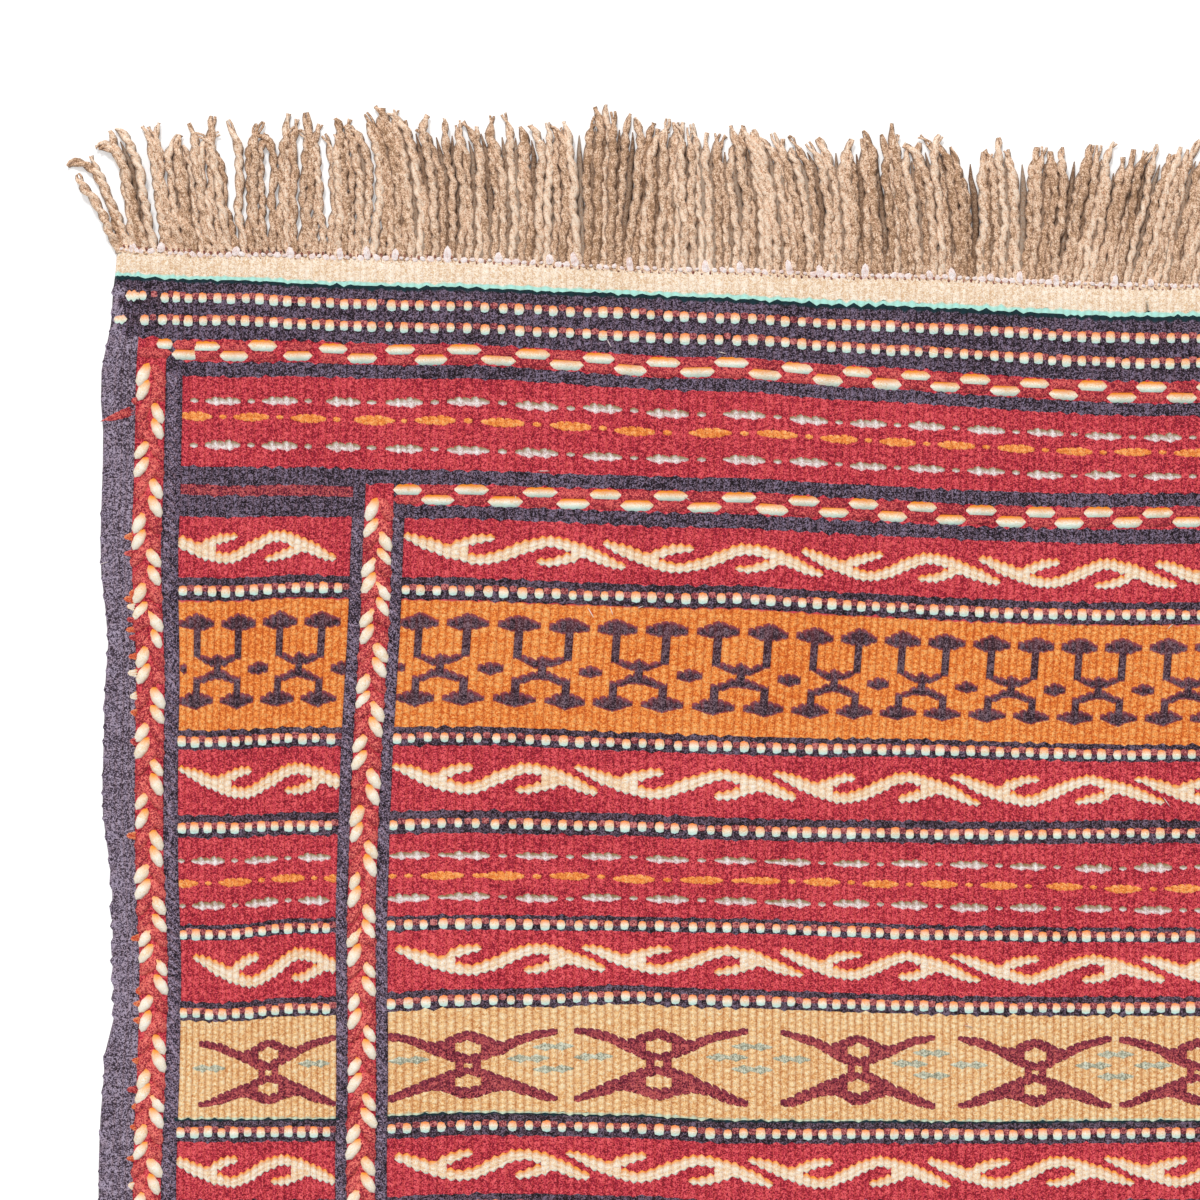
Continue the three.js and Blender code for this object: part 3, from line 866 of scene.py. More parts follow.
# The ribs that the hooks of each band start on, in the main field and in the side fields, where one
# hook is cut by the frame lines. Further hooks follow evenly.
HOOK_STARTS = (
    (0.4, 24.4, 48.4, 72.4, 96.4), (0.7, 22.8, 46.7, 70.7, 95.8), (1.3, 23.7, 47.0, 70.9, 96.5),
    (0.9, 21.8, 43.6, 67.1, 91.8),
)
SIDE_HOOK_STARTS = ((-1.8, 19.6), (0.8, 24.6), (2.7, 24.8), (-0.7, 22.1))


def hook_runs(zone, band_start, starts):
    """The runs of hooks in a zone. Each hook reaches from its start to the next one's."""
    spans = {}
    for first, following in zip(starts[:-1], starts[1:]):
        for line in HOOK_LINES:
            marks, depths, thicknesses = np.array(line).T
            for rib in range(*zone):
                charted = (rib + 0.5 - zone[0] - first) / (following - first) * HOOK_REPEAT
                if marks[0] <= charted <= marks[-1]:
                    depth = np.interp(charted, marks, depths) + random.uniform(-HOOK_JITTER, HOOK_JITTER)
                    half = np.interp(charted, marks, thicknesses) / 2
                    span = (band_start + depth - half, band_start + depth + half)
                    spans.setdefault(rib, []).append(span)
    return [(rib, low, high) for rib, found in spans.items() for low, high in joined(found)]


runs = []
for number, (start, height, _) in enumerate(bands_of("hooks")):
    top = start + height / 2 - HOOK_MIDDLE[1]
    starts = HOOK_STARTS[number % len(HOOK_STARTS)]
    further = np.arange(starts[-1] + HOOK_REPEAT, FIELD_RIBS + HOOK_REPEAT, HOOK_REPEAT)
    runs += hook_runs(FIELD_ZONES[1], top, (*starts, *further))
    for zone in (FIELD_ZONES[0], FIELD_ZONES[2]):
        runs += hook_runs(zone, top, SIDE_HOOK_STARTS[number % len(SIDE_HOOK_STARTS)])
strips("cream_hooks", runs, cream_wool, "cream_wool", rise=0.4, pearls=True)

# %% [markdown]
# ## Figures of the orange band
# A pair of capped posts joined by two bows, over a mirrored pair, and a small diamond before the next.
# The figure is the same to the left and right of its middle rib, so the chart gives one side. Each
# line of the chart is a rib, with the spans that it covers.

# %% Orange band
ORANGE_REPEAT = 12
ORANGE_FIRST = 5
ORANGE_CHART_HEIGHT = 44.0
CHART_JITTER = 0.35
# For each rib from the middle: spans of (start, end) in mm from the band's top.
ORANGE_CHART = (
    ((18.2, 27.2),),
    ((6.4, 9.4), (19.8, 22.8), (23.8, 27.4), (32.6, 35.4)),
    ((5.2, 10.2), (18.6, 21.6), (25.4, 28.4), (31.4, 36.2)),
    ((4.2, 20.0), (26.4, 37.2)),
    ((5.2, 10.2), (31.4, 36.2)),
    ((6.4, 9.4), (22.0, 25.0), (32.6, 35.4)),
    ((21.0, 26.0),),
)


def charted_runs(zone, start, scale, chart, middles):
    """The runs of a zone that is filled with a chart, which is the same on both sides of each middle."""
    found = []
    for rib in range(*zone):
        aside = min(abs(rib - zone[0] - middle) for middle in middles)
        if aside < len(chart):
            spans = start + np.array(chart[aside]) * scale
            spans = spans + random.uniform(-CHART_JITTER, CHART_JITTER, spans.shape)
            found += [(rib, *span) for span in spans]
    return found


runs = []
orange_middles = range(ORANGE_FIRST, FIELD_RIBS + ORANGE_REPEAT, ORANGE_REPEAT)
for start, height, _ in bands_of("orange"):
    for zone in FIELD_ZONES:
        runs += charted_runs(zone, start, height / ORANGE_CHART_HEIGHT, ORANGE_CHART, orange_middles)
strips("orange_band_figures", runs, violet_wool, "blue_violet_wool", rise=0.12)

# %% [markdown]
# ## Figures of the tan band
# Dark red crosses whose arms nearly meet, with a small roof over and under each crossing that leaves a
# diamond of tan. Four pale green bars lie where the arms of two crosses meet. The chart is again one
# side of the figure, rib by rib from its middle.

# %% Tan band
TAN_REPEAT = 24
TAN_CHART_HEIGHT = 37.0
TAN_CHART = (
    ((7.8, 10.8), (16.4, 19.0), (20.8, 23.0), (28.1, 32.0)),
    ((8.6, 12.2), (15.2, 24.2), (27.1, 31.4)),
    ((9.6, 18.2), (21.4, 30.2)),
    ((11.0, 16.8), (22.8, 29.2)),
    ((11.4, 15.8), (23.6, 28.8)),
    ((10.5, 14.2), (24.8, 29.2)),
    ((9.4, 12.8), (25.8, 30.0)),
    ((8.4, 11.9), (26.8, 30.9)),
    ((7.9, 10.9), (28.0, 31.7)),
    ((7.6, 10.2), (29.2, 32.3)),
    ((7.2, 9.4), (30.4, 32.6)),
)
# Rows are (middle rib of a cross, middle rib of the gap after it). Further crosses follow evenly.
TAN_PLACES = ((-15, -1), (9, 21), (32, 45), (57, 69), (81, 94), (103, 115))
SIDE_TAN_PLACES = ((-11, 1), (13, 25))
# Rows are (first rib from the middle of the gap, depth in the band).
GREEN_BARS = ((-7, 17.4), (-4, 13.5), (1, 17.4), (-4, 21.3))
BAR_HEIGHTS = (0.9, 3.0, 1.0, 3.0, 0.9)


def bar_runs(first_rib, depth, heights, zone):
    """A low bar with a waist, which begins on a rib. The depth is its middle line."""
    return [(first_rib + number, depth - height / 2, depth + height / 2)
            for number, height in enumerate(heights) if zone[0] <= first_rib + number < zone[1]]


further = np.arange(TAN_REPEAT, FIELD_RIBS, TAN_REPEAT)
main_places = (*TAN_PLACES, *((TAN_PLACES[-1][0] + move, TAN_PLACES[-1][1] + move) for move in further))
runs, green_runs = [], []
for start, height, _ in bands_of("tan"):
    scale = height / TAN_CHART_HEIGHT
    for zone, places in zip(FIELD_ZONES, (SIDE_TAN_PLACES, main_places, SIDE_TAN_PLACES)):
        runs += charted_runs(zone, start, scale, TAN_CHART, [middle for middle, _ in places])
        for _, gap in places:
            for aside, depth in GREEN_BARS:
                first_rib = zone[0] + gap + aside
                if zone[0] <= first_rib <= zone[1] - len(BAR_HEIGHTS):
                    green_runs += bar_runs(first_rib, start + depth * scale, BAR_HEIGHTS, zone)
strips("tan_band_figures", runs, maroon_wool, "maroon_wool", rise=0.12)
strips("green_bars", green_runs, green_wool, "pale_green_wool", rise=0.14)

# %% [markdown]
# ## Rows of spots
# The wide red bands carry three rows of short bars with a dot between them: pale, orange and pale
# again, the orange ones half a repeat aside.

# %% Spots
SPOT_REPEAT = 8
DOT_HEIGHT, DOT_AFTER = 1.7, 6
FIELD_SPOT_SIZE = 0.85
SPOT_JITTER = 0.4
SPOT_UNEVENNESS = 0.15
PALE_BAR, ORANGE_BAR = (1.7, 3.8, 2.2, 3.8, 1.9), (1.6, 3.2, 3.3, 3.4, 1.8)
# Rows are (share of the band's height in the border, in the field, whether it is orange).
SPOT_ROWS = ((0.26, 0.275, False), (0.47, 0.525, True), (0.78, 0.785, False))
# The first ribs of (the pale bars, the orange bars), counted from the side of their own zone.
BORDER_SPOTS, SIDE_SPOTS, MAIN_SPOTS = (5, 1), (2, 6), (0, 4)

# Figures are set a little nearer to the side than an even count gives. Rows are (rib, ribs they move).
BORDER_SHIFT = ((0, 0.7), (14, 2.2), (24, 2.2), (34, 1.2), (66, 1.0), (80, 0))
FIELD_SHIFT = ((0, 0), (16, 1.2), (32, 1.0), (48, 1.7), (80, 1.6), (96, 0.8), (130, 0))
NO_SHIFT = ((0, 0), (1, 0))


def beaten_aside(rib, ribs, shift):
    """The rib that a figure starts on, where an even count gives this one out of so many ribs."""
    move = read_table(shift, np.clip(min(rib, ribs - rib), 0, shift[-1][0]))
    return int(round(rib - move if rib < ribs / 2 else rib + move))


# Rows are (zone, rib that the count starts from, ribs, first ribs of the bars, shift).
side_start = zone_starts["side field"][0]
border_starts = [side_start + first for first in BORDER_SPOTS]
BORDER_SPOT_ZONES = (((side_start, RIBS - side_start), 0, RIBS, border_starts, BORDER_SHIFT),)
FIELD_SPOT_ZONES = (
    *((zone, zone[0], zone[1] - zone[0], SIDE_SPOTS, NO_SHIFT) for zone in FIELD_ZONES[::2]),
    (FIELD_ZONES[1], SIDE_RIBS, FIELD_RIBS, MAIN_SPOTS, FIELD_SHIFT),
)

pale_runs, orange_runs = [], []
for start, height, region in bands_of("spots"):
    in_field = region == "field"
    spot_size = FIELD_SPOT_SIZE if in_field else 1
    for zone, base, ribs, firsts, shift in FIELD_SPOT_ZONES if in_field else BORDER_SPOT_ZONES:
        for border_share, field_share, is_orange in SPOT_ROWS:
            middle_line = start + height * (field_share if in_field else border_share)
            chosen, bar = (orange_runs, ORANGE_BAR) if is_orange else (pale_runs, PALE_BAR)
            for counted in range(firsts[is_orange] - SPOT_REPEAT, ribs, SPOT_REPEAT):
                rib = base + beaten_aside(counted, ribs, shift)
                depth = middle_line + random.uniform(-SPOT_JITTER, SPOT_JITTER)
                sizes = random.uniform(1 - SPOT_UNEVENNESS, 1 + SPOT_UNEVENNESS, len(bar) + 1) * spot_size
                chosen += bar_runs(rib, depth, np.multiply(bar, sizes[1:]), zone)
                chosen += bar_runs(rib + DOT_AFTER, depth, (DOT_HEIGHT * sizes[0],), zone)
strips("pale_spots", pale_runs, pale_wool, "pale_green_wool", rise=0.25)
strips("orange_spots", orange_runs, orange_figure_wool, "orange_wool", rise=0.2)

# %% [markdown]
# ## Plump threads
# Beads, stitches and wraps are short lengths of yarn that stand well proud of the cloth. Each is a
# grain: a small dome, longer than it is wide, with rounded ends. One function makes a mesh of as many
# grains as it is given.

# %% A grain of yarn
GRAIN_EDGE = 0.25
# Points along and across a grain.
FINE, PLAIN = (5, 5), (4, 3)
# How fast the tints grow towards a grain's far and near side, and how much less they start with.
WARM_GROWTH, WARM_LESS, COOL_GROWTH, COOL_LESS = 2.6, 0.6, 2.2, 0.7
# The share of a rib and of a knot that a grain has in the shader, so that painted shade darkens its rim.
RIB_SHARE, KNOT_SHARE = 0.46, 0.4


def grains(name, rows, material, slot, bluntness=3.0, detail=PLAIN):
    """One mesh of grains. Rows are (x, y, angle, length, width, height), in mm and radians."""
    x, y, angle, length, width, height = np.array(rows, float).T[:, :, None, None]
    s, t = (np.sin(np.linspace(-np.pi / 2, np.pi / 2, number)) for number in detail)
    s, t = s[None, :, None], t[None, None, :]
    forward = s * length / 2
    sideways = t * (1 - np.abs(s) ** bluntness) ** 0.5 * width / 2
    lift = np.sqrt(np.maximum(0, 1 - t ** 2)) * (1 - np.abs(s) ** 3) ** 0.5
    px = x + forward * np.cos(angle) - sideways * np.sin(angle)
    py = y + forward * np.sin(angle) + sideways * np.cos(angle)
    pz = CREST - GRAIN_EDGE + surface_height(x, y) + height * lift
    reach = (np.abs(np.sin(angle)) * length + np.abs(np.cos(angle)) * width) / 2
    northern = (py - y) / reach
    tint = np.clip(northern * WARM_GROWTH - WARM_LESS, 0, 1)
    tint = tint - np.clip(-northern * COOL_GROWTH - COOL_LESS, 0, 1)
    number = np.arange(len(rows))[:, None, None]
    weave = np.broadcast_arrays(number + 0.5 + RIB_SHARE * t, 0.5 + KNOT_SHARE * s + 0 * px, tint)
    faces = repeated(grid_faces(*detail)[:, ::-1], detail[0] * detail[1], len(rows))
    piece(name, np.stack([px, py, pz], axis=-1), faces, np.stack(weave, axis=-1), [material], slot)


# %% [markdown]
# Thin dark rows with cream beads part the bands. A bead sits on every second rib, and between two beads
# a dull red knot covers the upper half. Two more such rows run across the whole width near each end,
# each with one larger bead at the side.

# %% Beads between the bands
BEAD_LENGTH, BEAD_WIDTH, BEAD_RISE = 4.4, 3.4, 0.7
GAP_LENGTH, GAP_WIDTH, GAP_RISE = 3.3, 2.8, 0.45
BEAD_DROP, GAP_ABOVE = 0.6, 0.9
BEAD_SIZES = (0.85, 1.1)
BEAD_JITTER, ROW_JITTER = 0.12, 0.25
DOTS_FROM = 5
# Rows are (which row of dots, rib, length across, width along) of the larger beads at the side.
SIDE_BEADS = ((0, 3.7, 5.6, 4.4), (1, 1.6, 5.0, 4.0))


def grain_at(rib, along, length, width, height, angle=np.pi / 2):
    """A grain that lies at a place in the weaving. By default it lies along the ribs."""
    x, y = place(rib, along)
    return x, y, angle, length, width, height


bead_rows, gap_rows = [], []
for start, height, region in bands_of("beads", "dots"):
    is_dots = region == "whole"
    drop = 0 if is_dots else BEAD_DROP
    for zone in ((DOTS_FROM, RIBS - DOTS_FROM),) if is_dots else FIELD_ZONES:
        for rib in range(*zone):
            along = start + height / 2 + drop + random.uniform(-ROW_JITTER, ROW_JITTER)
            size = random.uniform(*BEAD_SIZES)
            if (rib - zone[0]) % 2 == 0:
                at_rib = rib + 0.5 + random.uniform(-BEAD_JITTER, BEAD_JITTER)
                bead_rows.append(grain_at(at_rib, along, BEAD_LENGTH * size, BEAD_WIDTH * size, BEAD_RISE))
            else:
                gap_rows.append(grain_at(rib + 0.5, along - GAP_ABOVE, GAP_LENGTH, GAP_WIDTH, GAP_RISE))
dot_lines = [start + height / 2 for start, height, _ in bands_of("dots")]
for number, rib, length, width in SIDE_BEADS:
    for along in (dot_lines[number], dot_lines[-1 - number]):
        for at_rib in (rib, RIBS - rib):
            bead_rows.append(grain_at(at_rib, along, length, width, BEAD_RISE, angle=0.0))
grains("cream_beads", bead_rows, bead_wool, "cream_wool", detail=(5, 3))
grains("dull_red_knots", gap_rows, gap_wool, "maroon_wool")

# %% [markdown]
# Two frame lines are worked over the cloth in cream and red yarn. Along the ends they are two rows of
# long flat stitches, cream over red and red over cream, and each stitch spans four ribs.

# %% Flat rows at the ends
DASH_RIBS = 4
DASH_WIDTH, DASH_RISE = 4.1, 0.85
DASH_LINES = (0.27, 0.71)
DASH_WIDTHS, DASH_TILT, DASH_STRAY, DASH_OVERLAP = (0.92, 1.06), 0.04, 0.3, 0.1
# Near the sides the border's stitches are set closer to the edge. Rows are (rib, ribs they move).
DASH_SHIFT = ((0, 0.7), (14, 2.5), (24, 2.5), (32, 1.3), (40, 0.4), (46, 0))
cream_rows, red_rows = [], []


def flat_stitch(first_rib, ribs, along):
    """A stitch over some ribs, as a grain."""
    x0, y0 = place(first_rib - DASH_OVERLAP, along)
    x1, y1 = place(first_rib + ribs + DASH_OVERLAP, along)
    angle = np.arctan2(y1 - y0, x1 - x0) + random.uniform(-DASH_TILT, DASH_TILT)
    length, width = np.hypot(x1 - x0, y1 - y0), DASH_WIDTH * random.uniform(*DASH_WIDTHS)
    y = (y0 + y1) / 2 + random.uniform(-DASH_STRAY, DASH_STRAY)
    return (x0 + x1) / 2, y, angle, length, width, DASH_RISE


for start, height, region in bands_of("dashes"):
    is_border = region == "border"
    first = zone_starts["outer column"][0] + 2 if is_border else zone_starts["inner column"][0] + 3
    upper, lower = (start + height * share for share in DASH_LINES)
    for number, rib in enumerate(range(first, RIBS - first - 2, DASH_RIBS)):
        rib = beaten_aside(rib, RIBS, DASH_SHIFT) if is_border else rib
        cream_at, red_at = (upper, lower) if number % 2 == 0 else (lower, upper)
        hidden = DASH_RIBS / 2 if is_border and number == 0 else 0
        cream_rows.append(flat_stitch(rib + hidden, DASH_RIBS - hidden, cream_at))
        red_rows.append(flat_stitch(rib, DASH_RIBS, red_at))
grains("flat_cream_stitches", cream_rows, cream_wool, "cream_wool", bluntness=5.0, detail=FINE)
grains("flat_red_stitches", red_rows, flat_red_wool, "red_wool", bluntness=5.0, detail=FINE)

# %% [markdown]
# Up the sides the frame lines are plaited. Two cream stitches lean one way on one side of the column,
# the next two lean the other way on the other side, and a red yarn zigzags between them. The pairs are
# where the photograph has them, and further on they follow at the same beat.

# %% Plaited columns up the sides
STITCH_LENGTH, STITCH_WIDTH, STITCH_RISE = 8.8, 4.2, 1.6
STITCH_LEAN = np.radians(60)
STITCH_SWING = 0.75
STITCH_APART = 6.0
STITCH_SIZES, STITCH_TILT, STITCH_STRAY = (0.86, 1.08), 0.15, 0.3
RED_RISE = 1.35
CROSSING_LENGTH, CROSSING_LEAN = 8.0, np.radians(50)
# Where the pairs lie in mm along, from left to right in turn.
OUTER_PAIRS = (
    44.5, 58.5, 71.8, 85.0, 96.7, 108.8, 120.8, 130.7, 143.5, 157.6, 169.5, 182.0, 194.0, 206.9, 217.8,
    228.9, 239.6, 249.8, 262.6, 277.2, 289.6, 299.4, 310.8, 322.8,
)
INNER_PAIRS = (
    90.9, 101.3, 111.1, 119.6, 129.4, 141.5, 152.8, 162.8, 174.5, 186.5, 199.4, 211.4, 222.5, 233.6,
    241.9, 252.4, 263.3, 274.8, 286.6, 299.9, 310.8, 323.0,
)


def column_stitches(middle, pairs):
    """The cream and the red grains of one column."""
    pitch = (pairs[-1] - pairs[0]) / (len(pairs) - 1)
    further = np.arange(pairs[-1] + pitch, WOVEN_LENGTH - pairs[0] + pitch / 2, pitch)
    cream, red = [], []
    for number, pair in enumerate((*pairs, *further)):
        side = -1 if number % 2 == 0 else 1
        for part in (-0.5, 0.5):
            along = pair + part * STITCH_APART + random.uniform(-STITCH_STRAY, STITCH_STRAY)
            size = random.uniform(*STITCH_SIZES)
            length, width = STITCH_LENGTH * size, STITCH_WIDTH * size
            lean = side * -STITCH_LEAN % np.pi + random.uniform(-STITCH_TILT, STITCH_TILT)
            swing = side * STITCH_SWING
            cream.append(grain_at(middle + swing, along, length, width, STITCH_RISE * size, angle=lean))
            red.append(grain_at(middle - swing, along, length, width, RED_RISE, angle=np.pi - lean))
        cross = side * -CROSSING_LEAN % np.pi
        red.append(grain_at(middle, pair + pitch / 2, CROSSING_LENGTH, STITCH_WIDTH, RED_RISE, angle=cross))
    return cream, red


cream_rows, red_rows = [], []
for zone, pairs in (("outer column", OUTER_PAIRS), ("inner column", INNER_PAIRS)):
    middle = sum(zone_starts[zone]) / 2
    for place_rib in (middle, RIBS - middle):
        cream, red = column_stitches(place_rib, pairs)
        cream_rows += cream
        red_rows += red
grains("cream_stitches", cream_rows, plied_cream_wool, "cream_wool", bluntness=2.2, detail=FINE)
grains("red_stitches", red_rows, plied_red_wool, "red_wool", detail=(5, 4))

# %% [markdown]
# Loose ends of red and orange wool poke out of the outer column over the side edge. Each is a few
# fibres that run together to a point.

# %% Loose ends
TUFT_FIBRES, TUFT_BASE, TUFT_REACH = 3, 2.2, 3.4
TUFT_WIDTH, TUFT_RISE = 1.3, 0.9
TUFT_BASES, TUFT_REACHES = (0.7, 1.2), (0.6, 1.3)
TUFT_DROP, TUFT_RIB = 0.8, 1.3
TUFT_PITCH, TUFT_STRAY = 9.0, 3
# The shares of orange, red and cream ends.
TUFT_SHARES = (0.55, 0.35, 0.1)
# Where loose ends poke out, in mm along.
TUFT_PLACES = (
    51.8, 98.9, 104.6, 117.8, 120.2, 123.0, 127.6, 130.7, 133.9, 140.2, 146.2, 153.9, 160.2, 170.4, 202.9,
    236.7, 255.4, 259.9, 265.9, 280.5, 290.9,
)

# Rows are (along, reach in mm, how far the tip drops) of the long red ends.
LONG_ENDS = ((54.0, 12.5, 5.0), (55.5, 11.0, 3.6))
LONG_END_BASE = 1.6


def pointed(base, tip, spread, fibres, width, height):
    """Grains from a spread base that run together to a tip. Base and tip are (x, y) in mm."""
    found = []
    (x0, y0), (x1, y1) = base, tip
    long = np.hypot(x1 - x0, y1 - y0)
    for aside in np.linspace(-0.5, 0.5, fibres) * spread:
        x, y = x0 - aside * (y1 - y0) / long, y0 + aside * (x1 - x0) / long
        angle, length = np.arctan2(y1 - y, x1 - x), np.hypot(x1 - x, y1 - y)
        found.append(((x + x1) / 2, (y + y1) / 2, angle, length, width, height))
    return found


further = np.arange(TUFT_PLACES[-1] + TUFT_PITCH, WOVEN_LENGTH - TUFT_PLACES[0], TUFT_PITCH)
outer_middle = sum(zone_starts["outer column"]) / 2
tuft_rows = {"orange": [], "red": [], "cream": []}
for outward, middle in ((-1, outer_middle), (1, RIBS - outer_middle)):
    for along in (*TUFT_PLACES, *(further + random.uniform(-TUFT_STRAY, TUFT_STRAY, len(further)))):
        colour = random.choice(list(tuft_rows), p=TUFT_SHARES)
        x, y = place(middle + outward * TUFT_RIB, along)
        reach = TUFT_REACH * random.uniform(*TUFT_REACHES)
        tip = (x + outward * reach, y + random.uniform(-TUFT_DROP, TUFT_DROP))
        spread = TUFT_BASE * random.uniform(*TUFT_BASES)
        tuft_rows[colour] += pointed((x, y), tip, spread, TUFT_FIBRES, TUFT_WIDTH, TUFT_RISE)
for along, reach, drop in LONG_ENDS:
    x, y = place(zone_starts["outer column"][0], along)
    tip = (x - reach, y - drop)
    tuft_rows["red"] += pointed((x, y), tip, LONG_END_BASE, TUFT_FIBRES, TUFT_WIDTH, TUFT_RISE)
grains("orange_loose_ends", tuft_rows["orange"], tuft_wool, "orange_wool")
grains("red_loose_ends", tuft_rows["red"], plied_red_wool, "red_wool")
grains("cream_loose_ends", tuft_rows["cream"], plied_cream_wool, "cream_wool")

# %% [markdown]
# Fine stray fibres stand up from any hand-spun wool, pale against the dark bands.

# %% Stray fibres
STRAY_FIBRES, FIBRE_WIDTH, FIBRE_RISE = 60, 0.35, 0.9
FIBRE_LENGTHS = (2.0, 5.0)
FIBRES_FROM_SIDE, FIBRES_FROM_END = 6, 12
# Rows are (across, along, angle in degrees, length) of the clearest ones.
CLEAR_FIBRES = (
    (163.5, 122.5, -58, 5.2), (170.5, 121.5, -70, 3.4), (268.5, 307.0, 75, 4.5), (1.5, 108.0, 20, 4.0),
)
fibre_rows = []
for across_at, along, degrees, length in CLEAR_FIBRES:
    rib = np.interp(across_at, across_marks, rib_marks)
    fibre_rows.append(grain_at(rib, along, length, FIBRE_WIDTH, FIBRE_RISE, np.radians(degrees)))
fibre_ribs = random.uniform(FIBRES_FROM_SIDE, RIBS - FIBRES_FROM_SIDE, STRAY_FIBRES)
fibre_places = random.uniform(FIBRES_FROM_END, WOVEN_LENGTH - FIBRES_FROM_END, STRAY_FIBRES)
for rib, along in zip(fibre_ribs, fibre_places):
    length, angle = random.uniform(*FIBRE_LENGTHS), random.uniform(0, np.pi)
    fibre_rows.append(grain_at(rib, along, length, FIBRE_WIDTH, FIBRE_RISE, angle))
grains("stray_fibres", fibre_rows, thread_wool, "cream_wool")

# %% [markdown]
# The dark lines beside the columns are wrapped: a dark yarn goes over and round them, which leaves a
# rope of slanted wraps. The side edges of the rug are overcast in the same way, with wraps of uneven
# width that give the outline its small waves.

# %% Wraps
WRAP_PITCH, WRAP_WIDTH, WRAP_RISE, WRAP_SLANT = 3.0, 2.7, 1.1, -0.9
WRAP_LENGTHS, WRAP_TILT, WRAP_STRAY = (0.85, 0.95), 0.2, 0.3
# Rows are (zone, where its wraps start).
WRAPPED_LINES = (("outer line", 42.0), ("inner line", 92.0), ("last line", 92.0))
EDGE_PITCH, EDGE_LENGTH, EDGE_RISE, EDGE_RIB = (4.0, 9.0), 5.4, 0.35, 1.05
EDGE_STRAY, EDGE_OVERLAP, EDGE_START = 0.5, 1.15, 12.0
wrap_rows, edge_rows = [], []

for zone, wrap_start in WRAPPED_LINES:
    first, last = zone_starts[zone]
    for middle in ((first + last) / 2, RIBS - (first + last) / 2):
        x0, x1 = (place(middle + aside * (last - first) / 2, WOVEN_LENGTH / 2)[0] for aside in (-1, 1))
        for along in np.arange(wrap_start, WOVEN_LENGTH - wrap_start, WRAP_PITCH):
            slant = WRAP_SLANT + random.uniform(-WRAP_TILT, WRAP_TILT)
            length = (x1 - x0) / np.cos(slant) * random.uniform(*WRAP_LENGTHS)
            along = along + random.uniform(-WRAP_STRAY, WRAP_STRAY)
            wrap_rows.append(grain_at(middle, along, length, WRAP_WIDTH, WRAP_RISE, slant))
for rib in (EDGE_RIB, RIBS - EDGE_RIB):
    along = EDGE_START
    while along < WOVEN_LENGTH - EDGE_START:
        pitch = random.uniform(*EDGE_PITCH)
        length = EDGE_LENGTH + random.uniform(-EDGE_STRAY, EDGE_STRAY)
        slant = random.uniform(-WRAP_TILT, WRAP_TILT)
        edge_rows.append(grain_at(rib, along + pitch / 2, length, pitch * EDGE_OVERLAP, EDGE_RISE, slant))
        along += pitch
grains("dark_wraps", wrap_rows, rope_wool, "blue_violet_wool")
grains("edge_wraps", edge_rows, selvedge_wool, "blue_violet_wool", bluntness=5.0)

# %% [markdown]
# ## Fringe
# The warps run on past the weaving as fringe. First each strand gets a middle line on the floor. Its
# length and lean come from short tables, and it sways, leans with its clump, lies over or under its
# neighbours and curls at the tip, most of all at the corner.

# %% The strands' middle lines
# Rows are (across, length).
STRAND_LENGTHS = (
    (0, 27), (6, 39), (20, 44), (40, 45), (80, 47), (120, 50), (175, 52), (230, 48), (400, 50), (600, 47),
    (WIDTH, 42),
)
# Rows are (across, lean of the lower half, lean of the upper half), in degrees. Those from 46 to 361
# are what a program measured in the photograph, and the rest are judged or guessed.
STRAND_LEANS = (
    (0, -20, -34), (5, -17, -28), (12, -13, -20), (24, -11, -5), (46, -10, -1), (67, -1, -1), (88, 4, -8),
    (109, 2, -14), (130, 2, -7), (151, 1, -2), (172, 3, 6), (193, 0, -2), (214, -1, -11), (235, 4, -12),
    (256, -3, -5), (277, -2, -15), (298, 2, -5), (319, 10, 7), (340, 14, 14), (361, 12, 12), (400, 9, 9),
    (520, -3, -3), (650, 4, 8), (760, 0, -4), (792, 9, 4), (WIDTH, 19, 14),
)
# The strands part here. Rows are (across, degrees between the two sides).
PARTINGS = ((9, 13), (27, 8), (46, 9), (56, 8), (74, 8))
PARTING_REACH = 6.0
STRAND_RINGS = 28
ROOT_INSIDE, ROOT_HEIGHT = 1.2, 1.75
# How fast the lower half's lean gives way to the upper half's, and how late that begins.
BEND_PACE, BEND_DELAY = 1.4, 0.1
# How uneven the lengths and leans are: of each strand, of a clump, and of a clump at the very corner.
CLUMP_STRANDS = 3
LENGTH_SPREAD, CLUMP_LENGTHS = 2.2, 1.6
LEAN_SPREAD, CLUMP_LEANS, CORNER_LEANS = 1.7, 0.3, 3.0
CORNER_REACHES = (110, 60)
# Rows are (sways along a strand, their size in radians).
SWAYS = ((1.7, 0.08), (3.3, 0.12))
SWAY_STRENGTHS, SWAY_GROWTH = (0.6, 1.3), 5
CURL_SPREAD, CORNER_CURLS, CURL_FROM, CURL_POWER = 0.4, (-1.8, 0.9), 0.7, 1.5
# The heights in mm that strands lie at over one another.
LAYERS, LAYER_WAVE, WAVES, LOWEST = (0.0, 0.6, 1.2, 1.9), 0.4, 9, 1.45
WAVE_STARTS = (0, 6)
SETTLES_WITHIN, TIP_SINKS_FROM, TIP_SINKS = 0.25, 0.8, 0.45


def clumps(count, reach, seed):
    """Smooth uneven numbers with a spread of one, so that neighbours are alike."""
    rough = np.random.default_rng(seed).normal(size=count + 4 * reach)
    window = np.hanning(2 * reach + 1)
    smooth = np.convolve(rough, window / np.sqrt((window ** 2).sum()), "same")
    return smooth[2 * reach:2 * reach + count]


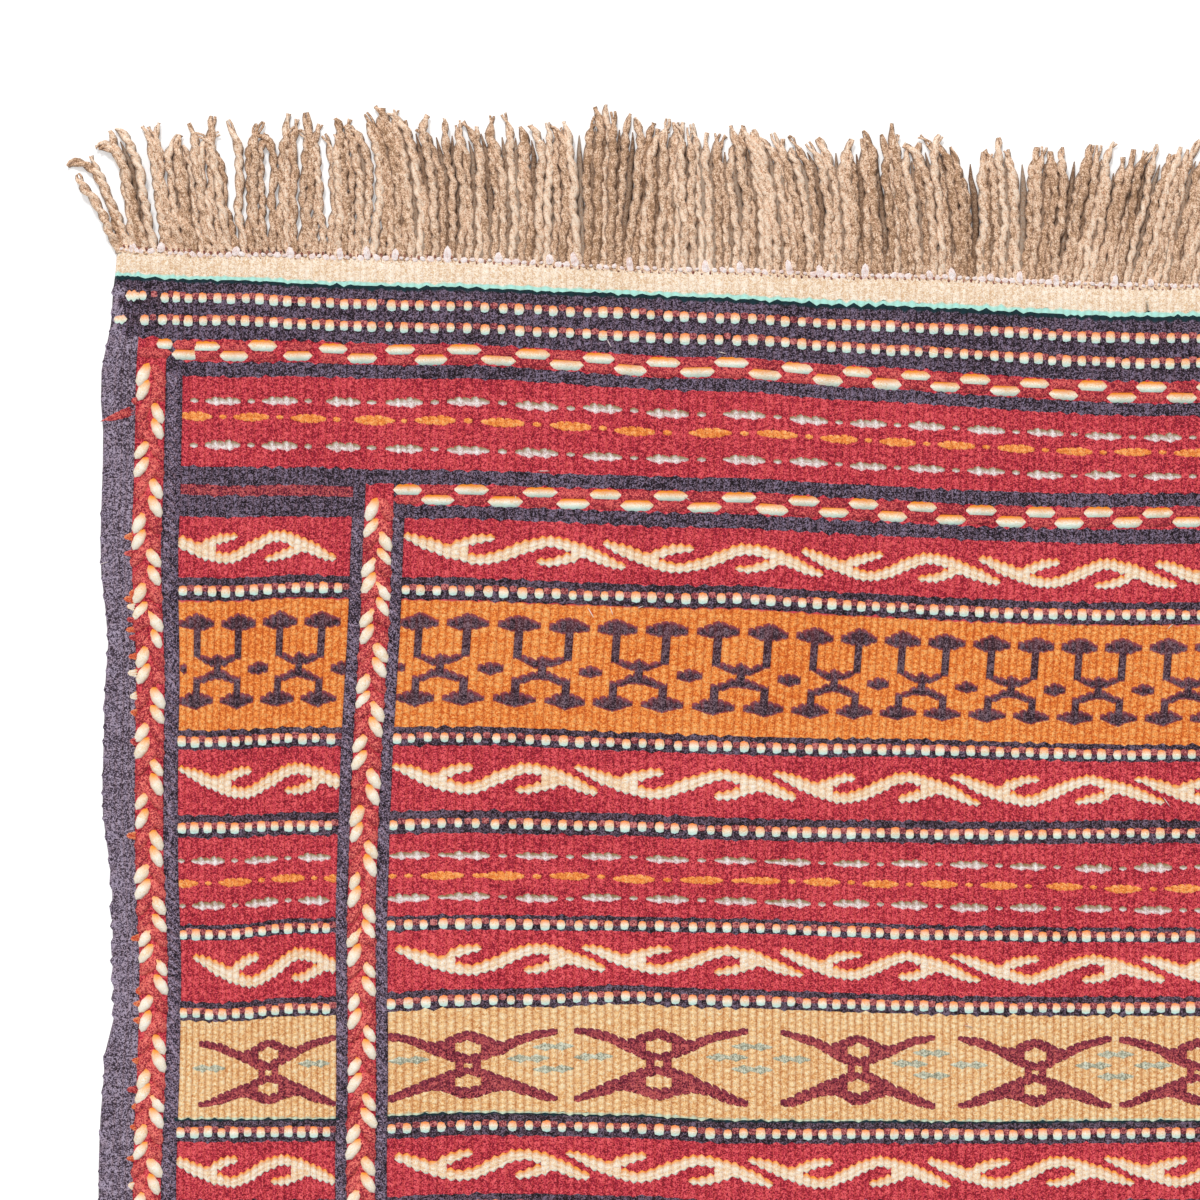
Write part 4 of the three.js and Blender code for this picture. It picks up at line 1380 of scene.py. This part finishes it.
def strand_paths(end, seed):
    """The middle lines of the strands of one end, and the distances out along them."""
    draw = np.random.default_rng(seed)
    ribs = np.arange(RIBS) + 0.5
    across = np.interp(ribs, rib_marks, across_marks)
    root_x, root_y = place(ribs, 0.0) if end > 0 else place(RIBS - ribs, WOVEN_LENGTH)
    near_reach, far_reach = CORNER_REACHES
    corner = np.maximum(0, 1 - across / near_reach) + np.maximum(0, 1 - (WIDTH - across) / far_reach)
    length = read_table(STRAND_LENGTHS, across) + CLUMP_LENGTHS * clumps(RIBS, CLUMP_STRANDS, seed + 1)
    length = length + draw.normal(0, LENGTH_SPREAD, RIBS)
    clump_lean = draw.normal(0, LEAN_SPREAD, RIBS)
    clump_lean += (CLUMP_LEANS + CORNER_LEANS * corner) * clumps(RIBS, CLUMP_STRANDS, seed + 2)
    for parting, opening in PARTINGS:
        from_parting = across - parting
        clump_lean += np.sign(from_parting) * opening / 2 * np.exp(-np.abs(from_parting) / PARTING_REACH)
    leans = np.array(STRAND_LEANS).T
    lower, upper = (np.radians(read_table(np.stack([leans[0], half], axis=1), across) + clump_lean)
                    for half in leans[1:])
    share = np.linspace(0, 1, STRAND_RINGS)
    distance = share * (length[:, None] + ROOT_INSIDE) - ROOT_INSIDE
    out = np.maximum(0, distance / length[:, None])
    heading = lower[:, None] + (upper - lower)[:, None] * eased(out * BEND_PACE - BEND_DELAY)
    for waves, size in SWAYS:
        phase = draw.uniform(0, 2 * np.pi, RIBS)[:, None]
        strength = size * draw.uniform(*SWAY_STRENGTHS, RIBS)[:, None] * np.minimum(1, out * SWAY_GROWTH)
        heading = heading + strength * np.sin(2 * np.pi * waves * out + phase)
    curl = draw.normal(0, CURL_SPREAD, RIBS) + corner * draw.uniform(*CORNER_CURLS, RIBS)
    heading = heading + curl[:, None] * np.maximum(0, (out - CURL_FROM) / (1 - CURL_FROM)) ** CURL_POWER
    step = np.diff(distance, axis=1, prepend=distance[:, :1])
    x = root_x[:, None] + end * np.cumsum(np.sin(heading) * step, axis=1)
    y = root_y[:, None] + end * (np.cumsum(np.cos(heading) * step, axis=1) - ROOT_INSIDE)
    layer = draw.choice(LAYERS, RIBS)[:, None]
    layer = layer + LAYER_WAVE * np.sin(WAVES * out + draw.uniform(*WAVE_STARTS, (RIBS, 1)))
    rest_height = LOWEST + np.maximum(0, layer)
    height = rest_height + (ROOT_HEIGHT - rest_height) * (1 - eased(out / SETTLES_WITHIN))
    height = height * (1 - TIP_SINKS * eased((out - TIP_SINKS_FROM) / (1 - TIP_SINKS_FROM)))
    return np.stack([x, y, height], axis=-1), distance, out


# %% [markdown]
# A strand is two plies of pale brown wool twisted round each other. Each ply is a thin tube that winds
# round the strand's middle line, and near the tip the plies loosen and thin out. Painted shade darkens
# a ply on its lower side and where it dips under the other one. A lower layer of simple strands, dark
# with painted shade, shows in the gaps between the upper ones, but not in the open gaps at the corner,
# where the floor shows.

# %% Fringe strands
PLY_RADIUS, PLY_OFFSET, PLY_SQUASH = 1.18, 0.72, 0.75
PLY_RADII = (0.85, 1.1)
PLY_TURN, TURN_WOBBLE, WOBBLE_LENGTH = (9.5, 14.0), 0.5, 3
PLY_SIDES = 4
LOOSE_FROM, LOOSENING = 0.86, (-0.5, 0.35)
THIN_FROM, THIN_WITHIN, THINNING = (0.78, 0.92), 0.14, 0.62
# Painted shade on a ply: all over, on its lower side, and where it dips under the other ply.
PLY_SHADE, SHADE_BELOW, SHADE_UNDER = 0.30, 0.5, 0.45
FLOOR_GAP = 0.03
# The last of these is the painted shade that darkens the lower strands all over.
UNDER_RADIUS, UNDER_SIDES, UNDER_STEP, UNDER_SHORTER, LOWER_STRAND_SHADE = 1.35, 4, 3, 2, 0.62
UNDER_TIP, UNDER_GROWTH, UNDER_SQUASH = 0.15, 0.5, 0.9
HOLES_REACH, HOLE_WIDTH = 95, 3.0


def tube_faces(rings, sides, count):
    """The quads of many tubes, each with so many rings of so many points."""
    number = np.arange(sides)
    beside = (number + 1) % sides
    one_ring = np.stack([number, beside, beside + sides, number + sides], axis=-1)
    return repeated(repeated(one_ring, sides, rings - 1), rings * sides, count)


def directions(centre):
    """The directions to the side of middle lines and up from them, at each point."""
    tangent = np.gradient(centre, axis=1)
    tangent /= np.linalg.norm(tangent, axis=-1, keepdims=True)
    side = np.stack([tangent[..., 1], -tangent[..., 0], np.zeros(centre.shape[:2])], axis=-1)
    side /= np.linalg.norm(side, axis=-1, keepdims=True)
    return side, np.cross(side, tangent)


def upper_strands(name, centre, distance, out, seed):
    """The strands of two plies around middle lines."""
    draw = np.random.default_rng(seed)
    side, upward = directions(centre)
    turn = draw.uniform(*PLY_TURN, RIBS)[:, None]
    phase = draw.uniform(0, 2 * np.pi, RIBS)[:, None]
    wobble = TURN_WOBBLE * np.sin(distance / WOBBLE_LENGTH + 2 * phase)
    winding = 2 * np.pi * distance / turn + phase + wobble
    around = 2 * np.pi * np.arange(PLY_SIDES) / PLY_SIDES
    thick = PLY_RADIUS * draw.uniform(*PLY_RADII, RIBS)[:, None]
    strand = np.arange(RIBS)[:, None, None] + 0.5
    points, weaves = [], []
    for ply in (0, 1):
        wind = winding + ply * np.pi
        loose = eased((out - LOOSE_FROM) / (1 - LOOSE_FROM)) * draw.uniform(*LOOSENING, RIBS)[:, None]
        thinning = eased((out - draw.uniform(*THIN_FROM, (RIBS, 1))) / THIN_WITHIN)
        radius = (thick * (1 - THINNING * thinning))[..., None]
        middle = centre + ((PLY_OFFSET + loose) * np.cos(wind))[..., None] * side
        middle = middle + (PLY_OFFSET * PLY_SQUASH * np.sin(wind))[..., None] * upward
        ring = middle[:, :, None] + (radius * np.cos(around))[..., None] * side[:, :, None]
        ring = ring + (radius * np.sin(around))[..., None] * upward[:, :, None]
        ring[..., 2] = np.maximum(ring[..., 2], FLOOR_GAP)
        # Painted shade on the ply's lower side and where it dips under the other ply.
        tint = PLY_SHADE - SHADE_BELOW * np.sin(around) - SHADE_UNDER * np.sin(wind)[..., None]
        weave = np.broadcast_arrays(strand, distance[:, :, None] / KNOT_HEIGHT, np.clip(tint, 0, 1))
        points.append(ring)
        weaves.append(np.stack(weave, axis=-1))
    faces = tube_faces(STRAND_RINGS, PLY_SIDES, 2 * RIBS)
    return piece(name, np.concatenate(points), faces, np.concatenate(weaves), [fringe_wool], "warp_fringe")


def lower_strands(name, centre):
    """Simple strands under the upper ones, half way between their middle lines."""
    apart = np.linalg.norm(centre[1:, -1] - centre[:-1, -1], axis=-1)
    beside_corner = np.interp(np.arange(1, RIBS), rib_marks, across_marks) < HOLES_REACH
    kept = np.flatnonzero(~(beside_corner & (apart > HOLE_WIDTH)))
    low = ((centre[:-1] + centre[1:]) / 2)[kept, :-UNDER_SHORTER:UNDER_STEP]
    low[..., 2] = UNDER_RADIUS
    side, _ = directions(centre)
    side = side[kept, :-UNDER_SHORTER:UNDER_STEP]
    around = 2 * np.pi * np.arange(UNDER_SIDES) / UNDER_SIDES
    rings = low.shape[1]
    from_tip = np.arange(rings)[::-1, None, None]
    taper = UNDER_RADIUS * np.minimum(1, UNDER_TIP + from_tip * UNDER_GROWTH)
    ring = low[:, :, None] + taper * np.cos(around)[:, None] * side[:, :, None]
    ring[..., 2] += (taper[..., 0] * np.sin(around)) * UNDER_SQUASH
    # Painted shade darkens the lower strands all over.
    tint = np.full(ring.shape[:3], LOWER_STRAND_SHADE)
    weave = np.broadcast_arrays(kept[:, None, None] + 0.5, np.arange(rings)[:, None], tint)
    faces = tube_faces(rings, UNDER_SIDES, len(kept))
    return piece(name, ring, faces, np.stack(weave, axis=-1), [fringe_wool], "warp_fringe")


for end_name, end, seed in (("top", 1, 21), ("bottom", -1, 33)):
    node = f"fringe_{end_name}"
    centre, distance, out = strand_paths(end, seed)
    upper = upper_strands(f"fringe_strands_{end_name}", centre, distance, out, seed + 9)
    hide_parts(node)
    lower = lower_strands(f"fringe_strands_{end_name}_under", centre)
    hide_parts(node)

# %% [markdown]
# ## Overcast thread at the roots
# A pinkish thread is sewn over the last weft so that the ivory band can't work loose. It shows as small
# bright bits between the warps, with a dark dot of the stitched warp under each, and now and then a
# longer stitch goes up between the strands and draws to a point.

# %% Overcast thread
BIT_LENGTH, BIT_WIDTH, BIT_RISE = 2.6, 1.6, 0.8
BIT_SIZES, BIT_STRAY, BIT_TILT, BIT_OUT = (0.55, 1.4), 0.3, 0.5, 0.1
SPIKE_LENGTH, SPIKE_SPREAD, SPIKE_WIDTH, SPIKE_RISE = 4.2, 2.4, 1.5, 0.9
SPIKE_LENGTHS, SPIKE_SPREADS, SPIKE_DRIFT, SPIKE_OUT = (0.5, 1.2), (0.6, 1.2), 0.8, 0.4
SPIKE_FIBRES, SPIKE_START, SPIKE_STEP = 3, 8.0, (8.0, 24.0)
DOT_LENGTH, DOT_WIDTH, DOT_RISE, DOT_OUT = 1.6, 1.1, 0.6, 0.9
# The dots lie outside the thread as far as this rib from each side, and inside it between.
DOTS_OUTSIDE = 48
thread_rows, dot_rows = [], []
for root, outwards in ((0.0, -1), (WOVEN_LENGTH, 1)):
    for rib in range(1, RIBS):
        stray = random.uniform(-BIT_STRAY, BIT_STRAY)
        size = random.uniform(*BIT_SIZES)
        bit = (BIT_LENGTH * size, BIT_WIDTH * size, BIT_RISE)
        angle = random.uniform(-BIT_TILT, BIT_TILT)
        thread_rows.append(grain_at(rib, root + outwards * (BIT_OUT + stray), *bit, angle=angle))
        beyond = outwards if min(rib, RIBS - rib) < DOTS_OUTSIDE else -outwards
        along = root + beyond * (DOT_OUT + stray)
        dot_rows.append(grain_at(rib + 0.5, along, DOT_LENGTH, DOT_WIDTH, DOT_RISE))
    across = SPIKE_START
    while across < WIDTH - SPIKE_START:
        x, y = place(round(np.interp(across, across_marks, rib_marks)), root)
        length = SPIKE_LENGTH * random.uniform(*SPIKE_LENGTHS)
        tip = (x + random.uniform(-SPIKE_DRIFT, SPIKE_DRIFT), y - outwards * length)
        base = (x, y + outwards * SPIKE_OUT)
        spread = SPIKE_SPREAD * random.uniform(*SPIKE_SPREADS)
        thread_rows += pointed(base, tip, spread, SPIKE_FIBRES, SPIKE_WIDTH, SPIKE_RISE)
        across += random.uniform(*SPIKE_STEP)
grains("overcast_thread", thread_rows, thread_wool, "overcast_thread")
grains("root_stitches", dot_rows, root_wool, "maroon_wool")

# %% [markdown]
# ## Last steps
# The floor gets its plain white.

# %% Floor finish
floor_paint = bpy.data.materials.new("matte white paint")
floor_paint.use_nodes = True
paint = floor_paint.node_tree.nodes["Principled BSDF"]
paint.inputs["Base Color"].default_value = linear("#F7F7F7")
paint.inputs["Roughness"].default_value = 0.9
paint.inputs["Emission Color"].default_value = WHITE
paint.inputs["Emission Strength"].default_value = FLOOR_GLOW
floor_mesh.materials.append(floor_paint)
